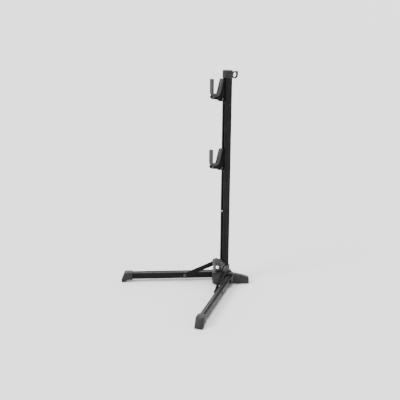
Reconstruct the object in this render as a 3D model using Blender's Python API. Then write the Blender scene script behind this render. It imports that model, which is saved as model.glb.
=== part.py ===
# Folding bike stand: a hollow mast with two V hooks, a moulded hub with two short
# wings, and two long legs that fold up beside the mast.
#
# Metres, +Z up. The origin is at floor level, in the middle of the stand's width and
# length. The hooks point towards -Y, which is the front. The legs spread to either
# side of the front, and the wings to either side of the back. The pieces are placed
# from the mast's axis, and the whole stand is then moved back by MAST_BACK.
#
# A sliding collar on the mast carries one brace for each leg. Lifting the collar
# folds both legs. A sprung latch on the collar's arm snaps on the hub.

import math

import bmesh
import bpy
from mathutils import Matrix, Vector

# Overall sizes
OVERALL_HEIGHT = 0.590
MAST_BACK = 0.08969                  # middle of the stand's length to the mast's axis
LEG_SPREAD = math.radians(34.3)      # each leg, from straight ahead
WING_SPREAD = math.radians(34.3)     # each wing, from straight back
GAP = 0.0003                         # between pieces that touch
ROUND = 24                           # sides of a small round piece

# Mast, an eight-sided tube with a T slot down its front
MAST_BOTTOM = 0.0092
MAST_REACH = 0.0101                  # axis to the front face and to the back face
MAST_HALF_WIDTH = 0.0120             # axis to either side
MAST_FACE_HALF = 0.0063              # half the width of the front face
MAST_WALL = 0.0018
SLOT_HALF = 0.0025                   # half the slot's mouth
SLOT_DEPTH = 0.0030                  # depth of the chamber behind the lips
SLOT_FLOOR = 0.0014                  # wall behind and beside the chamber

# Cap with its hanging eye
CAP_HEIGHT = 0.0197
CAP_OVERHANG = 0.0006
CAP_ROUND = 0.0014
CAP_SPIGOT = 0.0240
EYE_THICKNESS = 0.0048
EYE_REACH = 0.0242                   # mast axis to the eye's centre, to the back
EYE_DROP = 0.0132                    # cap's top down to the eye's centre
EYE_RADIUS = 0.0098
EYE_HOLE = 0.00625
EYE_TOP_STEP = 0.0040                # cap's top down to the eye's flat top
CAP_SCREW_DROP = 0.0120              # below the cap's lower edge
CAP_SCREW_HEAD = 0.0032
CAP_SCREW_SHANK = 0.0016

# Hooks
UPPER_HOOK_DROP = 0.0570             # mast's top down to the bottom of the upper V
HOOK_SPACING = 0.1825                # from one V's bottom to the other's
HOOK_FRONT = 0.0474                  # mast axis to the slot's front wall
HOOK_BACK = 0.0332                   # mast axis to the back wall's line, at the V's bottom
HOOK_BOTTOM_RADIUS = 0.0045
HOOK_LEAN = math.radians(16.2)       # back arm, from upright
HOOK_TIP = 0.0378                    # V bottom up to the front arm's tip
HOOK_BACK_TIP = 0.0370               # V bottom up to the back arm's tip
LINER_THICKNESS = 0.0073
LINER_WIDTH = 0.0096
LINER_END_ROUND = 0.0012
BRACKET_WIDTH = 0.0090
CORE_WIDTH = 0.0036                  # rib inside the liner
CORE_COVER = 0.0018                  # liner left over the rib on the slot's side
CORE_RIB = 0.0037
CORE_TIP_COVER = 0.0060
BRACKET_TOP = 0.0340                 # V bottom up to its top at the mast
BRACKET_CHIN = 0.0138                # V bottom down to its front corner
BRACKET_HEEL = 0.0205                # V bottom down to its heel at the mast
BRACKET_HEEL_REACH = 0.0265
BRACKET_HEEL_SLOPE = 0.0040
BRACKET_STEP = 0.0168                # V bottom down to where the heel starts
BRACKET_FRONT = 0.0532
BRACKET_CORNER = 0.0060
BOLT_REACH = 0.0496                  # mast axis to the front bolt
BOLT_DROP = 0.0086                   # V bottom down to the front bolt
BOLT_RADIUS = 0.0015
BOLT_HEAD = 0.0029
BOLT_HEAD_HEIGHT = 0.0020
BOLT_SOCKET = 0.0014
BOLT_SOCKET_DEPTH = 0.0012
REAR_BOLT_REACH = 0.0192
REAR_BOLT_DROP = 0.0148
NUT_RADIUS = 0.0029
NUT_HEIGHT = 0.0024
ANCHOR_TONGUE = 0.0044
ANCHOR_LENGTH = 0.0300
ANCHOR_REACH = 0.0244
ANCHOR_TONGUE_HALF = 0.0060

# Legs: along is measured from the mast's axis, across from the plane through it
LEG_WIDTH = 0.0174
LEG_DEPTH = 0.0173
LEG_WALL = 0.0018
LEG_FLOOR_CLEARANCE = 0.0086
LEG_OFFSET = 0.0190                  # leg's centre line, outwards of the mast's axis
LEG_PIVOT = 0.0250                   # mast axis to the fold pin, along the leg
LEG_TAIL = 0.0090                    # fold pin back to the tube's end
LEG_GROOVE_OFFSET = 0.0040
LEG_GROOVE_WIDTH = 0.0040
LEG_GROOVE_DEPTH = 0.0026
LEG_GROOVE_WALL = 0.0016
LEG_INNER_ROUND = 0.0035
LEG_CORNER_ROUND = 0.0012
ROOT_BLOCK_LENGTH = 0.0280
FOLD_PIN = 0.0030
FOLD_PIN_HEAD = 0.0052
FOLD_PIN_HEAD_HEIGHT = 0.0016

# Feet
FOOT_END = 0.2890                    # mast axis to the toe, along the leg
FOOT_LENGTH = 0.0320
FOOT_TOP_SETBACK = 0.0105            # toe back to the end of the foot's top
FOOT_TUBE_SETBACK = 0.0150           # toe back to the end of the leg's tube
FOOT_WALL = 0.0021
FOOT_TOE = 0.0120
FOOT_ROUND = 0.0012
PAD_THICKNESS = 0.0028
PAD_STAND = 0.0012                   # how far a pad stands out of its pocket
PAD_RIB = 0.0012
PAD_RIBS = 4
FOOT_SCREW_BACK = 0.0080

# Braces
BRACE_LEG_PIVOT = 0.1100             # mast axis to the lower pin, along the leg
BRACE_LEG_HEIGHT = 0.0185
BRACE_COLLAR_PIVOT = 0.0260
BRACE_COLLAR_HEIGHT = 0.0555
BRACE_THICKNESS = 0.0037
BRACE_HALF_WIDTH = 0.0062
BRACE_LEG_GAP = 0.0007
BRACE_PIN = 0.0024
BRACE_PIN_HEAD = 0.0044
BRACE_PIN_HEAD_HEIGHT = 0.0003
RIVET_HEAD = 0.0042
RIVET_HEAD_HEIGHT = 0.0014

# Hub
HUB_FLOOR = 0.0042                   # its underside, clear of the ground
HUB_TOP = 0.0330
HUB_COVER_TOP = 0.0362
HUB_SOCKET_FLOOR = 0.0089
HUB_EDGE = 0.0012
NOSE_REACH = 0.0384
NOSE_HALF_WIDTH = 0.0035
NOSE_ROUND = 0.0022
HUB_BACK = 0.0190
HUB_BACK_HALF = 0.0120
EAR_THICKNESS = 0.0028
EAR_RADIUS = 0.0076
EAR_SEAT = 0.0110                    # how far forward the wall behind the leg comes
EAR_ROOT = 0.0065
WING_LENGTH = 0.0692
WING_OFFSET = 0.0112                 # wing's centre line, outwards of the mast's axis
WING_HALF_WIDTH = 0.0070
WING_SLOPE_START = 0.0180
WING_ROOT_HEIGHT = 0.0318
WING_END_HEIGHT = 0.0186
WING_CURVE = 1.5
WING_CORNER = 0.0050
WING_GROUND = 0.0008                 # underside of a wing's end, above its pad's face
WING_ROOT_FLOOR = 0.0038             # underside at its root
WING_GROOVE_DROP = 0.0046
WING_GROOVE = 0.0009
WING_EDGE = 0.0014
WING_PAD_BACK = 0.0100               # wing's end back to its pad's centre
WING_PAD_RADIUS = 0.0052
HUB_BOLT = 0.0030
HUB_BOLT_HEAD = 0.0050
HUB_BOLT_HEAD_HEIGHT = 0.0024
HUB_BOLT_LENGTH = 0.0220
HUB_PLUG_HEIGHT = 0.0280
COVER_SCREW = 0.0016
COVER_SCREW_HEAD = 0.0030
COVER_SCREW_LENGTH = 0.0120
COVER_SCREW_PLACES = ((0.0242, 0.0128), (-0.0150, 0.0078))
STRIKE_REACH = 0.0295
STRIKE_LENGTH = 0.0090
STRIKE_HALF_WIDTH = 0.0050
STRIKE_HEIGHT = 0.0085

# Collar
COLLAR_FIT = 0.0004
COLLAR_WALL = 0.0022
COLLAR_SEAT_GAP = 0.0003
COLLAR_SLEEVE_TOP = 0.0540
COLLAR_BLOCK_REACH = 0.0180
COLLAR_BLOCK_HALF = 0.0095
COLLAR_EAR_THICKNESS = 0.0040
COLLAR_EAR_RADIUS = 0.0068
COLLAR_EAR_LOW = 0.0470
COLLAR_EAR_HIGH = 0.0630
COLLAR_BLOCK_LOW = 0.0505
COLLAR_EAR_ROOT = 0.0125             # along the leg's direction
STOP_HEIGHT = 0.2125                 # screw in the mast's slot that the lifted collar meets
STOP_SHANK = 0.0017
STOP_HEAD = 0.0023
STOP_HEAD_HEIGHT = 0.0021
ARM_TOP = 0.0778
ARM_DEPTH = 0.0125
ARM_FALL = 0.0075                    # arm's top falls this much towards the mast
ARM_FALL_START = 0.0250
ARM_HALF_WIDTH = 0.0043
ARM_SLOT_HALF = 0.0023

# Latch
LATCH_PIVOT_REACH = 0.0334
LATCH_PIVOT_HEIGHT = 0.0715
LATCH_HALF_WIDTH = 0.0039
LATCH_TONGUE_HALF = 0.0020
LATCH_INNER = 0.0318                 # mast axis to the strip's inner face
LATCH_OUTER = 0.0372
LATCH_EYE = 0.0044
LATCH_SHOULDER = 0.0100              # pivot down to the strip's wide part
LATCH_CLEARANCE = 0.0004             # under its lower end
LATCH_TOE_HEIGHT = 0.0052
LATCH_PIN = 0.0015
LATCH_HEEL = 0.0056                  # pivot back to the tip of the heel
LATCH_HEEL_TOP = 0.0030              # pivot down to the heel
LATCH_HEEL_LOW = 0.0046
SPRING_THICKNESS = 0.0006
SPRING_HALF_WIDTH = 0.0016
SPRING_SEAT = 0.0120                 # length that lies on the collar's block
SPRING_REACH = 0.0088                # block's face to the bend under the arm

# Worked out from the sizes above
LATCH_FOOT = HUB_COVER_TOP + LATCH_CLEARANCE
LEG_BOTTOM = LEG_FLOOR_CLEARANCE
LEG_TOP = LEG_BOTTOM + LEG_DEPTH
LEG_MIDDLE = LEG_BOTTOM + LEG_DEPTH / 2
LEG_INNER = LEG_OFFSET - LEG_WIDTH / 2
LEG_OUTER = LEG_OFFSET + LEG_WIDTH / 2
LEG_TUBE_END = FOOT_END - FOOT_TUBE_SETBACK
FOOT_START = FOOT_END - FOOT_LENGTH
FOOT_TOP_END = FOOT_END - FOOT_TOP_SETBACK
BRACE_OUTER = LEG_INNER - BRACE_LEG_GAP
BRACE_INNER = BRACE_OUTER - BRACE_THICKNESS
CAP_BOTTOM = OVERALL_HEIGHT - CAP_HEIGHT
UPPER_HOOK = OVERALL_HEIGHT - UPPER_HOOK_DROP
LOWER_HOOK = UPPER_HOOK - HOOK_SPACING
COLLAR_BOTTOM = HUB_COVER_TOP + COLLAR_SEAT_GAP
BRACE_RUN = BRACE_LEG_PIVOT - BRACE_COLLAR_PIVOT
BRACE_RISE = BRACE_COLLAR_HEIGHT - BRACE_LEG_HEIGHT
BRACE_LENGTH = math.hypot(BRACE_RUN, BRACE_RISE)
BRACE_SLOPE = math.atan2(BRACE_RISE, BRACE_RUN)

# Directions of a profile's two axes and of its extrusion
PLAN = (Vector((0, -1, 0)), Vector((1, 0, 0)), Vector((0, 0, 1)))      # forward, right
PROFILE = (Vector((0, -1, 0)), Vector((0, 0, 1)), Vector((1, 0, 0)))   # forward, up
ALONG_UP = (Vector((1, 0, 0)), Vector((0, 0, 1)), Vector((0, 1, 0)))   # along, up
ACROSS_UP = (Vector((0, 1, 0)), Vector((0, 0, 1)), Vector((1, 0, 0)))  # across, up
FLAT = (Vector((1, 0, 0)), Vector((0, 1, 0)), Vector((0, 0, 1)))       # along, across


# Materials

def material(name, colour, roughness, metallic):
    """A plain Principled material."""
    made = bpy.data.materials.new(name)
    made.use_nodes = True
    shader = made.node_tree.nodes["Principled BSDF"]
    shader.inputs["Base Color"].default_value = (*colour, 1.0)
    shader.inputs["Roughness"].default_value = roughness
    shader.inputs["Metallic"].default_value = metallic
    return made


def make_materials():
    """Every finish of the stand, by name."""
    return {
        "tube": material("black_anodised_tube", (0.012, 0.012, 0.013), 0.38, 0.6),
        "bracket": material("black_painted_bracket", (0.008, 0.008, 0.009), 0.5, 0.2),
        "moulding": material("dark_moulded_plastic", (0.045, 0.045, 0.048), 0.62, 0.0),
        "collar": material("grey_moulded_collar", (0.10, 0.10, 0.105), 0.55, 0.0),
        "liner": material("grey_rubber_liner", (0.075, 0.072, 0.082), 0.75, 0.0),
        "rubber": material("black_rubber_pad", (0.018, 0.018, 0.018), 0.85, 0.0),
        "steel": material("blackened_steel", (0.06, 0.06, 0.062), 0.35, 0.9),
        "spring": material("spring_steel", (0.45, 0.45, 0.46), 0.3, 1.0),
    }


# Outlines

def arc(centre, radius, start, end, steps):
    """Points along a circular arc, angles in degrees, both ends included."""
    points = []
    for step in range(steps + 1):
        angle = math.radians(start + (end - start) * step / steps)
        points.append((centre[0] + radius * math.cos(angle), centre[1] + radius * math.sin(angle)))
    return points


def circle(centre, radius, sides=ROUND):
    """A closed round outline."""
    return arc(centre, radius, 0, 360, sides)[:-1]


def mirrored(half):
    """A closed outline from its right half, which runs from front to back."""
    other = [(forward, -right) for forward, right in reversed(half)]
    return half + other


def signed_area(outline):
    """Positive when the outline turns anticlockwise."""
    total = 0.0
    for (x0, y0), (x1, y1) in zip(outline, outline[1:] + outline[:1]):
        total += x0 * y1 - x1 * y0
    return total / 2


def grown(outline, distance):
    """The outline with every side moved outwards, its corners kept sharp."""
    turn = 1.0 if signed_area(outline) > 0 else -1.0
    count = len(outline)
    points = []
    for index in range(count):
        before = Vector(outline[index - 1])
        here = Vector(outline[index])
        after = Vector(outline[(index + 1) % count])
        first = (here - before).normalized()
        second = (after - here).normalized()
        normal_a = Vector((first.y, -first.x)) * turn
        normal_b = Vector((second.y, -second.x)) * turn
        middle = normal_a + normal_b
        reach = distance * 2 / middle.length_squared
        points.append(tuple(here + middle * reach))
    return points


def rounded_rectangle(low, high, radii, steps=3):
    """A rectangle with its own radius at each corner, from the low corner anticlockwise."""
    corners = [
        ((low[0] + radii[0], low[1] + radii[0]), radii[0], 180),
        ((high[0] - radii[1], low[1] + radii[1]), radii[1], 270),
        ((high[0] - radii[2], high[1] - radii[2]), radii[2], 0),
        ((low[0] + radii[3], high[1] - radii[3]), radii[3], 90),
    ]
    points = []
    for centre, radius, start in corners:
        points.extend(arc(centre, radius, start, start + 90, steps))
    return points


# Solids

def prism(outline, low, high, axes):
    """A closed outline carried straight from low to high along the third axis."""
    bm = bmesh.new()
    corners = [bm.verts.new(axes[0] * u + axes[1] * v + axes[2] * low) for u, v in outline]
    face = bm.faces.new(corners)
    swept = bmesh.ops.extrude_face_region(bm, geom=[face])
    moved = [item for item in swept["geom"] if isinstance(item, bmesh.types.BMVert)]
    bmesh.ops.translate(bm, verts=moved, vec=axes[2] * (high - low))
    bmesh.ops.recalc_face_normals(bm, faces=bm.faces)
    return bm


def turned(profile, axis, start, sides=ROUND):
    """A round solid from (radius, height) points, along axis from start."""
    bm = bmesh.new()
    points = [bm.verts.new((radius, 0, height)) for radius, height in profile]
    edges = [bm.edges.new(pair) for pair in zip(points, points[1:])]
    bmesh.ops.spin(
        bm,
        geom=points + edges,
        cent=(0, 0, 0),
        axis=(0, 0, 1),
        angle=2 * math.pi,
        steps=sides,
        use_merge=True,
    )
    bmesh.ops.remove_doubles(bm, verts=bm.verts, dist=1e-6)
    turn = Vector((0, 0, 1)).rotation_difference(axis).to_matrix().to_4x4()
    bmesh.ops.transform(bm, matrix=Matrix.Translation(start) @ turn, verts=bm.verts)
    bmesh.ops.recalc_face_normals(bm, faces=bm.faces)
    return bm


def headed_pin(shank, length, head, head_height):
    """Profile of a pin whose domed head starts at height zero and lies below it."""
    return [
        (0, -head_height),
        (head * 0.72, -head_height),
        (head, -head_height * 0.45),
        (head, 0),
        (shank, 0),
        (shank, length),
        (0, length),
    ]


def add(name, bm, finish=None, parent=None):
    """Puts a solid into the scene as an object of its own."""
    mesh = bpy.data.meshes.new(name)
    bm.to_mesh(mesh)
    bm.free()
    made = bpy.data.objects.new(name, mesh)
    bpy.context.scene.collection.objects.link(made)
    if finish is not None:
        mesh.materials.append(finish)
    if parent is not None:
        made.parent = parent
    return made


def smooth(piece, angle=40):
    """Shades the rounds smooth and keeps the corners crisp."""
    piece.data.shade_smooth()
    piece.data.set_sharp_from_angle(angle=math.radians(angle))


def helper(bm, parent=None):
    """A solid that only shapes another one."""
    made = add("shaper", bm, None, parent)
    made.hide_render = True
    made.display_type = "WIRE"
    return made


def merge(piece, tool, operation):
    """Applies a helper object to a piece."""
    modifier = piece.modifiers.new(operation.lower(), "BOOLEAN")
    modifier.operation = operation
    modifier.solver = "EXACT"
    modifier.object = tool


def cut(piece, bm, parent=None):
    """Cuts a solid away from a piece."""
    merge(piece, helper(bm, parent), "DIFFERENCE")


def join(piece, bm, parent=None):
    """Joins a solid on to a piece."""
    merge(piece, helper(bm, parent), "UNION")


def bevel(piece, width, segments=2, angle=50):
    """Rounds the edges that are sharper than the angle."""
    modifier = piece.modifiers.new("rounded_edges", "BEVEL")
    modifier.width = width
    modifier.segments = segments
    modifier.limit_method = "ANGLE"
    modifier.angle_limit = math.radians(angle)


def empty(name, location, rotation=(0, 0, 0), parent=None):
    """A pivot that pieces hang on."""
    made = bpy.data.objects.new(name, None)
    bpy.context.scene.collection.objects.link(made)
    made.location = location
    made.rotation_euler = rotation
    made.parent = parent
    return made


# Places in a leg's own plane

def leg_heading(side):
    """Angle of a leg about Z. Side is 1 on the right and -1 on the left."""
    return -math.pi / 2 + side * LEG_SPREAD


def leg_place(side, along, outward, height):
    """World place of a point given along a leg and outwards of the mast's axis."""
    heading = leg_heading(side)
    direction = Vector((math.cos(heading), math.sin(heading), 0))
    across = Vector((-direction.y, direction.x, 0)) * side
    return direction * along + across * outward + Vector((0, 0, height))


def leg_plan(side, along, outward):
    """The same point as (forward, right), for outlines seen from above."""
    place = leg_place(side, along, outward, 0)
    return (-place.y, place.x)


def leg_axes(side):
    """Axes of a profile that stands in a leg's plane: along, up, outward."""
    along = leg_place(side, 1, 0, 0)
    outward = leg_place(side, 0, 1, 0)
    return (along, Vector((0, 0, 1)), outward)


# Mast

def mast_outline():
    """Eight sides. The front and back bevels face the way the legs fold."""
    bevel_depth = (MAST_HALF_WIDTH - MAST_FACE_HALF) * math.tan(LEG_SPREAD)
    half = [
        (MAST_REACH, MAST_FACE_HALF),
        (MAST_REACH - bevel_depth, MAST_HALF_WIDTH),
        (-MAST_REACH + bevel_depth, MAST_HALF_WIDTH),
        (-MAST_REACH, MAST_FACE_HALF),
    ]
    return mirrored(half)


def chamber_half():
    """Half the width of the slot's chamber, which the front wall leaves room for."""
    return MAST_FACE_HALF - MAST_WALL * math.tan(LEG_SPREAD / 2) - SLOT_FLOOR


def hollow_outline():
    """The space inside the mast, behind and beside the slot's chamber."""
    inner = grown(mast_outline(), -MAST_WALL)
    floor = MAST_REACH - MAST_WALL - SLOT_DEPTH - SLOT_FLOOR
    side = chamber_half() + SLOT_FLOOR
    return [(floor, -side), (floor, side)] + inner


def slot_outline():
    """The T slot, mouth and chamber in one."""
    lip = MAST_REACH - MAST_WALL
    floor = lip - SLOT_DEPTH
    chamber = chamber_half()
    front = MAST_REACH + MAST_WALL
    half = [(front, SLOT_HALF), (lip, SLOT_HALF), (lip, chamber), (floor, chamber)]
    return mirrored(half)


def make_mast(finish):
    mast = add("mast_tube", prism(mast_outline(), MAST_BOTTOM, CAP_BOTTOM, PLAN), finish["tube"])
    cut(mast, prism(hollow_outline(), 0, OVERALL_HEIGHT, PLAN))
    cut(mast, prism(slot_outline(), 0, OVERALL_HEIGHT, PLAN))
    cut(mast, cap_screw_bore(MAST_REACH + MAST_WALL / 2, 2 * MAST_WALL))
    cut(mast, stop_bore())
    smooth(mast)
    head = MAST_REACH + GAP
    profile = headed_pin(STOP_SHANK, head - stop_floor() + SLOT_FLOOR, STOP_HEAD, STOP_HEAD_HEIGHT)
    solid = turned(profile, Vector((0, 1, 0)), Vector((0, -head, STOP_HEIGHT)), 16)
    smooth(add("collar_stop_screw", solid, finish["steel"]))


def stop_floor():
    """Mast axis to the floor of the slot."""
    return MAST_REACH - MAST_WALL - SLOT_DEPTH


def stop_bore():
    """Cutter through the slot's floor for the screw that stops the collar."""
    radius = STOP_SHANK + GAP
    depth = 2 * SLOT_FLOOR
    profile = [(0, 0), (radius, 0), (radius, depth), (0, depth)]
    return turned(profile, Vector((0, 1, 0)), Vector((0, -stop_floor() - SLOT_FLOOR / 2, STOP_HEIGHT)), 16)


def cap_screw_bore(start, depth):
    """Cutter for the cap's screw, forwards from start behind the mast's axis."""
    radius = CAP_SCREW_SHANK + GAP
    profile = [(0, 0), (radius, 0), (radius, depth), (0, depth)]
    height = CAP_BOTTOM - CAP_SCREW_DROP
    return turned(profile, Vector((0, -1, 0)), Vector((0, start, height)))


def eye_outline():
    """The hanging eye: a flat top and a round lower corner, with its root in the cap."""
    centre = (-EYE_REACH, OVERALL_HEIGHT - EYE_DROP)
    top = OVERALL_HEIGHT - EYE_TOP_STEP
    root = -MAST_REACH + 2 * CAP_OVERHANG
    outer = centre[0] - EYE_RADIUS
    corner = 3 * CAP_OVERHANG
    points = [(root, top)]
    points.extend(arc((outer + corner, top - corner), corner, 90, 180, 3))
    points.extend(arc(centre, EYE_RADIUS, 180, 270, 8))
    points.append((-MAST_REACH - CAP_OVERHANG, CAP_BOTTOM))
    points.append((root, CAP_BOTTOM))
    return points


def make_cap(finish):
    outline = grown(mast_outline(), CAP_OVERHANG)
    cap = add("mast_cap", prism(outline, CAP_BOTTOM + GAP, OVERALL_HEIGHT, PLAN), finish["moulding"])
    bevel(cap, CAP_ROUND, 3, 60)
    half = EYE_THICKNESS / 2
    join(cap, prism(eye_outline(), -half, half, PROFILE))
    hole = circle((-EYE_REACH, OVERALL_HEIGHT - EYE_DROP), EYE_HOLE, 32)
    cut(cap, prism(hole, -EYE_THICKNESS, EYE_THICKNESS, PROFILE))
    spigot = grown(hollow_outline(), -GAP)
    join(cap, prism(spigot, CAP_BOTTOM - CAP_SPIGOT, CAP_BOTTOM + 2 * CAP_ROUND, PLAN))
    cut(cap, cap_screw_bore(MAST_REACH - MAST_WALL / 2, 3 * MAST_WALL))
    smooth(cap)
    length = MAST_WALL + 2 * CAP_SCREW_HEAD / 3
    profile = headed_pin(CAP_SCREW_SHANK, length, CAP_SCREW_HEAD, CAP_SCREW_SHANK)
    place = Vector((0, MAST_REACH + GAP, CAP_BOTTOM - CAP_SCREW_DROP))
    screw = add("mast_cap_screw", turned(profile, Vector((0, -1, 0)), place), finish["steel"])
    smooth(screw)


# Hooks

def slot_wall(base, offset, tip_cut, back_cut):
    """The V's wall moved out by offset, from the front tip down and up to the back tip."""
    radius = HOOK_BOTTOM_RADIUS
    rise = base + radius
    turn = (1 - math.sin(HOOK_LEAN)) / math.cos(HOOK_LEAN)
    front = (HOOK_FRONT - radius, rise)
    back = (HOOK_BACK + radius * turn, rise)
    points = [(HOOK_FRONT + offset, base + HOOK_TIP - tip_cut)]
    points.extend(arc(front, radius + offset, 0, -90, 6))
    points.extend(arc(back, radius + offset, -90, -180 + math.degrees(HOOK_LEAN), 6))
    last = points[-1]
    top = base + HOOK_BACK_TIP - back_cut
    points.append((last[0] - (top - last[1]) * math.tan(HOOK_LEAN), top))
    return points


def liner_outline(base):
    """The whole band of the liner, seen from the side."""
    return slot_wall(base, 0, 0, 0) + list(reversed(slot_wall(base, LINER_THICKNESS, 0, 0)))


def bracket_underside(base):
    """Bracket from its front corner along the bottom and up the mast's face."""
    face = MAST_REACH + GAP
    centre = (BRACKET_FRONT - BRACKET_CORNER, base - BRACKET_CHIN + BRACKET_CORNER)
    points = arc(centre, BRACKET_CORNER, 0, -90, 5)
    points.append((BRACKET_HEEL_REACH + BRACKET_HEEL_SLOPE, base - BRACKET_STEP))
    points.append((BRACKET_HEEL_REACH, base - BRACKET_HEEL))
    points.append((face, base - BRACKET_HEEL))
    points.append((face, base + BRACKET_TOP))
    return points


def body_outline(base):
    """The wide part of the bracket, outside the liner."""
    outside = slot_wall(base, LINER_THICKNESS + GAP, 0, HOOK_BACK_TIP - BRACKET_TOP)
    wrapped = [point for point in outside[1:] if point[0] < BRACKET_FRONT and point[1] < base + BRACKET_TOP]
    wrapped.append(outside[-1])
    return list(reversed(wrapped)) + bracket_underside(base)


def core_outline(base, slack):
    """The narrow rib inside the liner, with the wide part's outline below it."""
    inner = slot_wall(base, CORE_COVER - slack, CORE_TIP_COVER - slack, CORE_TIP_COVER / 2)
    front = HOOK_FRONT + CORE_COVER + CORE_RIB + slack
    shoulder = base + HOOK_BOTTOM_RADIUS / 2
    tip = base + HOOK_TIP - CORE_TIP_COVER + slack
    return list(reversed(inner)) + [(front, tip), (front, shoulder)] + bracket_underside(base)


def hook_bolt(reach, height):
    """A cross bolt with a round socketed head on the right side."""
    half = LINER_WIDTH / 2 + GAP
    floor = BOLT_SOCKET_DEPTH - BOLT_HEAD_HEIGHT
    profile = [
        (0, floor),
        (BOLT_SOCKET, floor),
        (BOLT_SOCKET, -BOLT_HEAD_HEIGHT),
        (BOLT_HEAD * 0.78, -BOLT_HEAD_HEIGHT),
        (BOLT_HEAD, -BOLT_HEAD_HEIGHT * 0.6),
        (BOLT_HEAD, 0),
        (BOLT_RADIUS, 0),
        (BOLT_RADIUS, 2 * half + NUT_HEIGHT),
        (0, 2 * half + NUT_HEIGHT),
    ]
    return turned(profile, Vector((-1, 0, 0)), Vector((half, -reach, height)), 20)


def hook_nut(reach, height):
    """A six-sided nut on the left side, open for its bolt."""
    low = -LINER_WIDTH / 2 - GAP - NUT_HEIGHT
    high = -LINER_WIDTH / 2 - GAP
    return prism(circle((reach, height), NUT_RADIUS, 6), low, high, PROFILE)


def bolt_bore(reach, height, radius):
    """Cutter for a cross bolt."""
    return prism(circle((reach, height), radius, 16), -2 * LINER_WIDTH, 2 * LINER_WIDTH, PROFILE)


def make_hook(name, base, finish):
    bolts = [(BOLT_REACH, base - BOLT_DROP), (REAR_BOLT_REACH, base - REAR_BOLT_DROP)]
    half = LINER_WIDTH / 2
    liner = add(name + "_liner", prism(liner_outline(base), -half, half, PROFILE), finish["liner"])
    bevel(liner, LINER_END_ROUND, 2)
    half = CORE_WIDTH / 2 + GAP
    cut(liner, prism(core_outline(base, GAP), -half, half, PROFILE))
    smooth(liner, 35)

    half = BRACKET_WIDTH / 2
    bracket = add(name + "_bracket", prism(body_outline(base), -half, half, PROFILE), finish["bracket"])
    half = CORE_WIDTH / 2
    join(bracket, prism(core_outline(base, 0), -half, half, PROFILE))
    rear = base - REAR_BOLT_DROP
    low = base - 2 * BRACKET_HEEL
    high = rear + ANCHOR_TONGUE_HALF + GAP
    deep = ANCHOR_REACH + GAP
    half = ANCHOR_TONGUE / 2 + GAP
    cut(bracket, prism([(0, low), (deep, low), (deep, high), (0, high)], -half, half, PROFILE))
    for reach, height in bolts:
        cut(bracket, bolt_bore(reach, height, BOLT_RADIUS + GAP))
    smooth(bracket)

    half = ANCHOR_TONGUE / 2
    anchor = add(name + "_anchor", prism(anchor_outline(rear), -half, half, PROFILE), finish["steel"])
    join(anchor, anchor_bar(rear))
    cut(anchor, bolt_bore(REAR_BOLT_REACH, rear, BOLT_RADIUS + GAP))

    for place, (reach, height) in zip(("front", "rear"), bolts):
        stem = name + "_" + place
        smooth(add(stem + "_bolt", hook_bolt(reach, height), finish["steel"]))
        nut = add(stem + "_nut", hook_nut(reach, height), finish["steel"])
        cut(nut, bolt_bore(reach, height, BOLT_RADIUS + GAP))


def anchor_outline(rear):
    """The anchor's tongue between the bracket's cheeks."""
    inside = MAST_REACH - MAST_WALL - SLOT_DEPTH / 2
    low = rear - ANCHOR_TONGUE_HALF
    high = rear + ANCHOR_TONGUE_HALF
    return [
        (inside, low),
        (REAR_BOLT_REACH, low),
        (ANCHOR_REACH, rear),
        (REAR_BOLT_REACH, high),
        (inside, high),
    ]


def anchor_bar(rear):
    """The anchor's T bar, held behind the slot's lips."""
    floor = MAST_REACH - MAST_WALL - SLOT_DEPTH + GAP
    lip = MAST_REACH - MAST_WALL - GAP
    half = chamber_half() - GAP
    low = rear - ANCHOR_LENGTH / 2
    high = rear + ANCHOR_LENGTH / 2
    return prism([(floor, low), (lip, low), (lip, high), (floor, high)], -half, half, PROFILE)


# Hub

def nose_half():
    """Right half of the blunt nose. Its face stands square to the leg."""
    corner = (NOSE_REACH, NOSE_HALF_WIDTH)
    turn = NOSE_ROUND * math.tan(LEG_SPREAD / 2)
    centre = (NOSE_REACH - NOSE_ROUND, corner[1] - turn)
    return list(arc(centre, NOSE_ROUND, 0, math.degrees(LEG_SPREAD), 3))


def nose_face():
    """How far along the leg the nose's slanted face stands."""
    return NOSE_REACH * math.cos(LEG_SPREAD) + NOSE_HALF_WIDTH * math.sin(LEG_SPREAD)


def hub_outline():
    """The moulding round the mast: nose, cheeks beside the legs, and back.

    The wall behind each leg stands forward of its seat, and the leg's way trims it.
    """
    cheek = LEG_INNER - 2 * GAP
    back_wall = LEG_OUTER + EAR_THICKNESS
    half = nose_half()
    half.append(leg_plan(1, nose_face(), cheek))
    half.append(leg_plan(1, EAR_SEAT + GAP, cheek))
    half.append(leg_plan(1, EAR_SEAT + GAP, back_wall))
    half.append(leg_plan(1, EAR_ROOT, back_wall))
    half.append((-HUB_BACK, HUB_BACK_HALF))
    return mirrored(half)


def cover_outline():
    """The lid's outline, which leaves the legs' way up clear."""
    half = nose_half()
    half.append(leg_plan(1, nose_face(), LEG_INNER - GAP - EAR_THICKNESS))
    half.append(leg_plan(1, EAR_SEAT, LEG_INNER - GAP))
    half.append((-HUB_BACK + HUB_BACK_HALF / 2, HUB_BACK_HALF))
    half.append((-HUB_BACK, HUB_BACK_HALF * 0.7))
    return mirrored(half)


def wing_axes(side):
    """Along the wing, up, and outwards across it."""
    heading = math.pi / 2 - side * WING_SPREAD
    along = Vector((math.cos(heading), math.sin(heading), 0))
    return (along, Vector((0, 0, 1)), Vector((along.y, -along.x, 0)) * side)


def wing_height(along):
    """The wing's top falls away from the hub in a growing curve."""
    share = max(0.0, (along - WING_SLOPE_START) / (WING_LENGTH - WING_SLOPE_START))
    return WING_ROOT_HEIGHT - (WING_ROOT_HEIGHT - WING_END_HEIGHT) * share ** WING_CURVE


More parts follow.
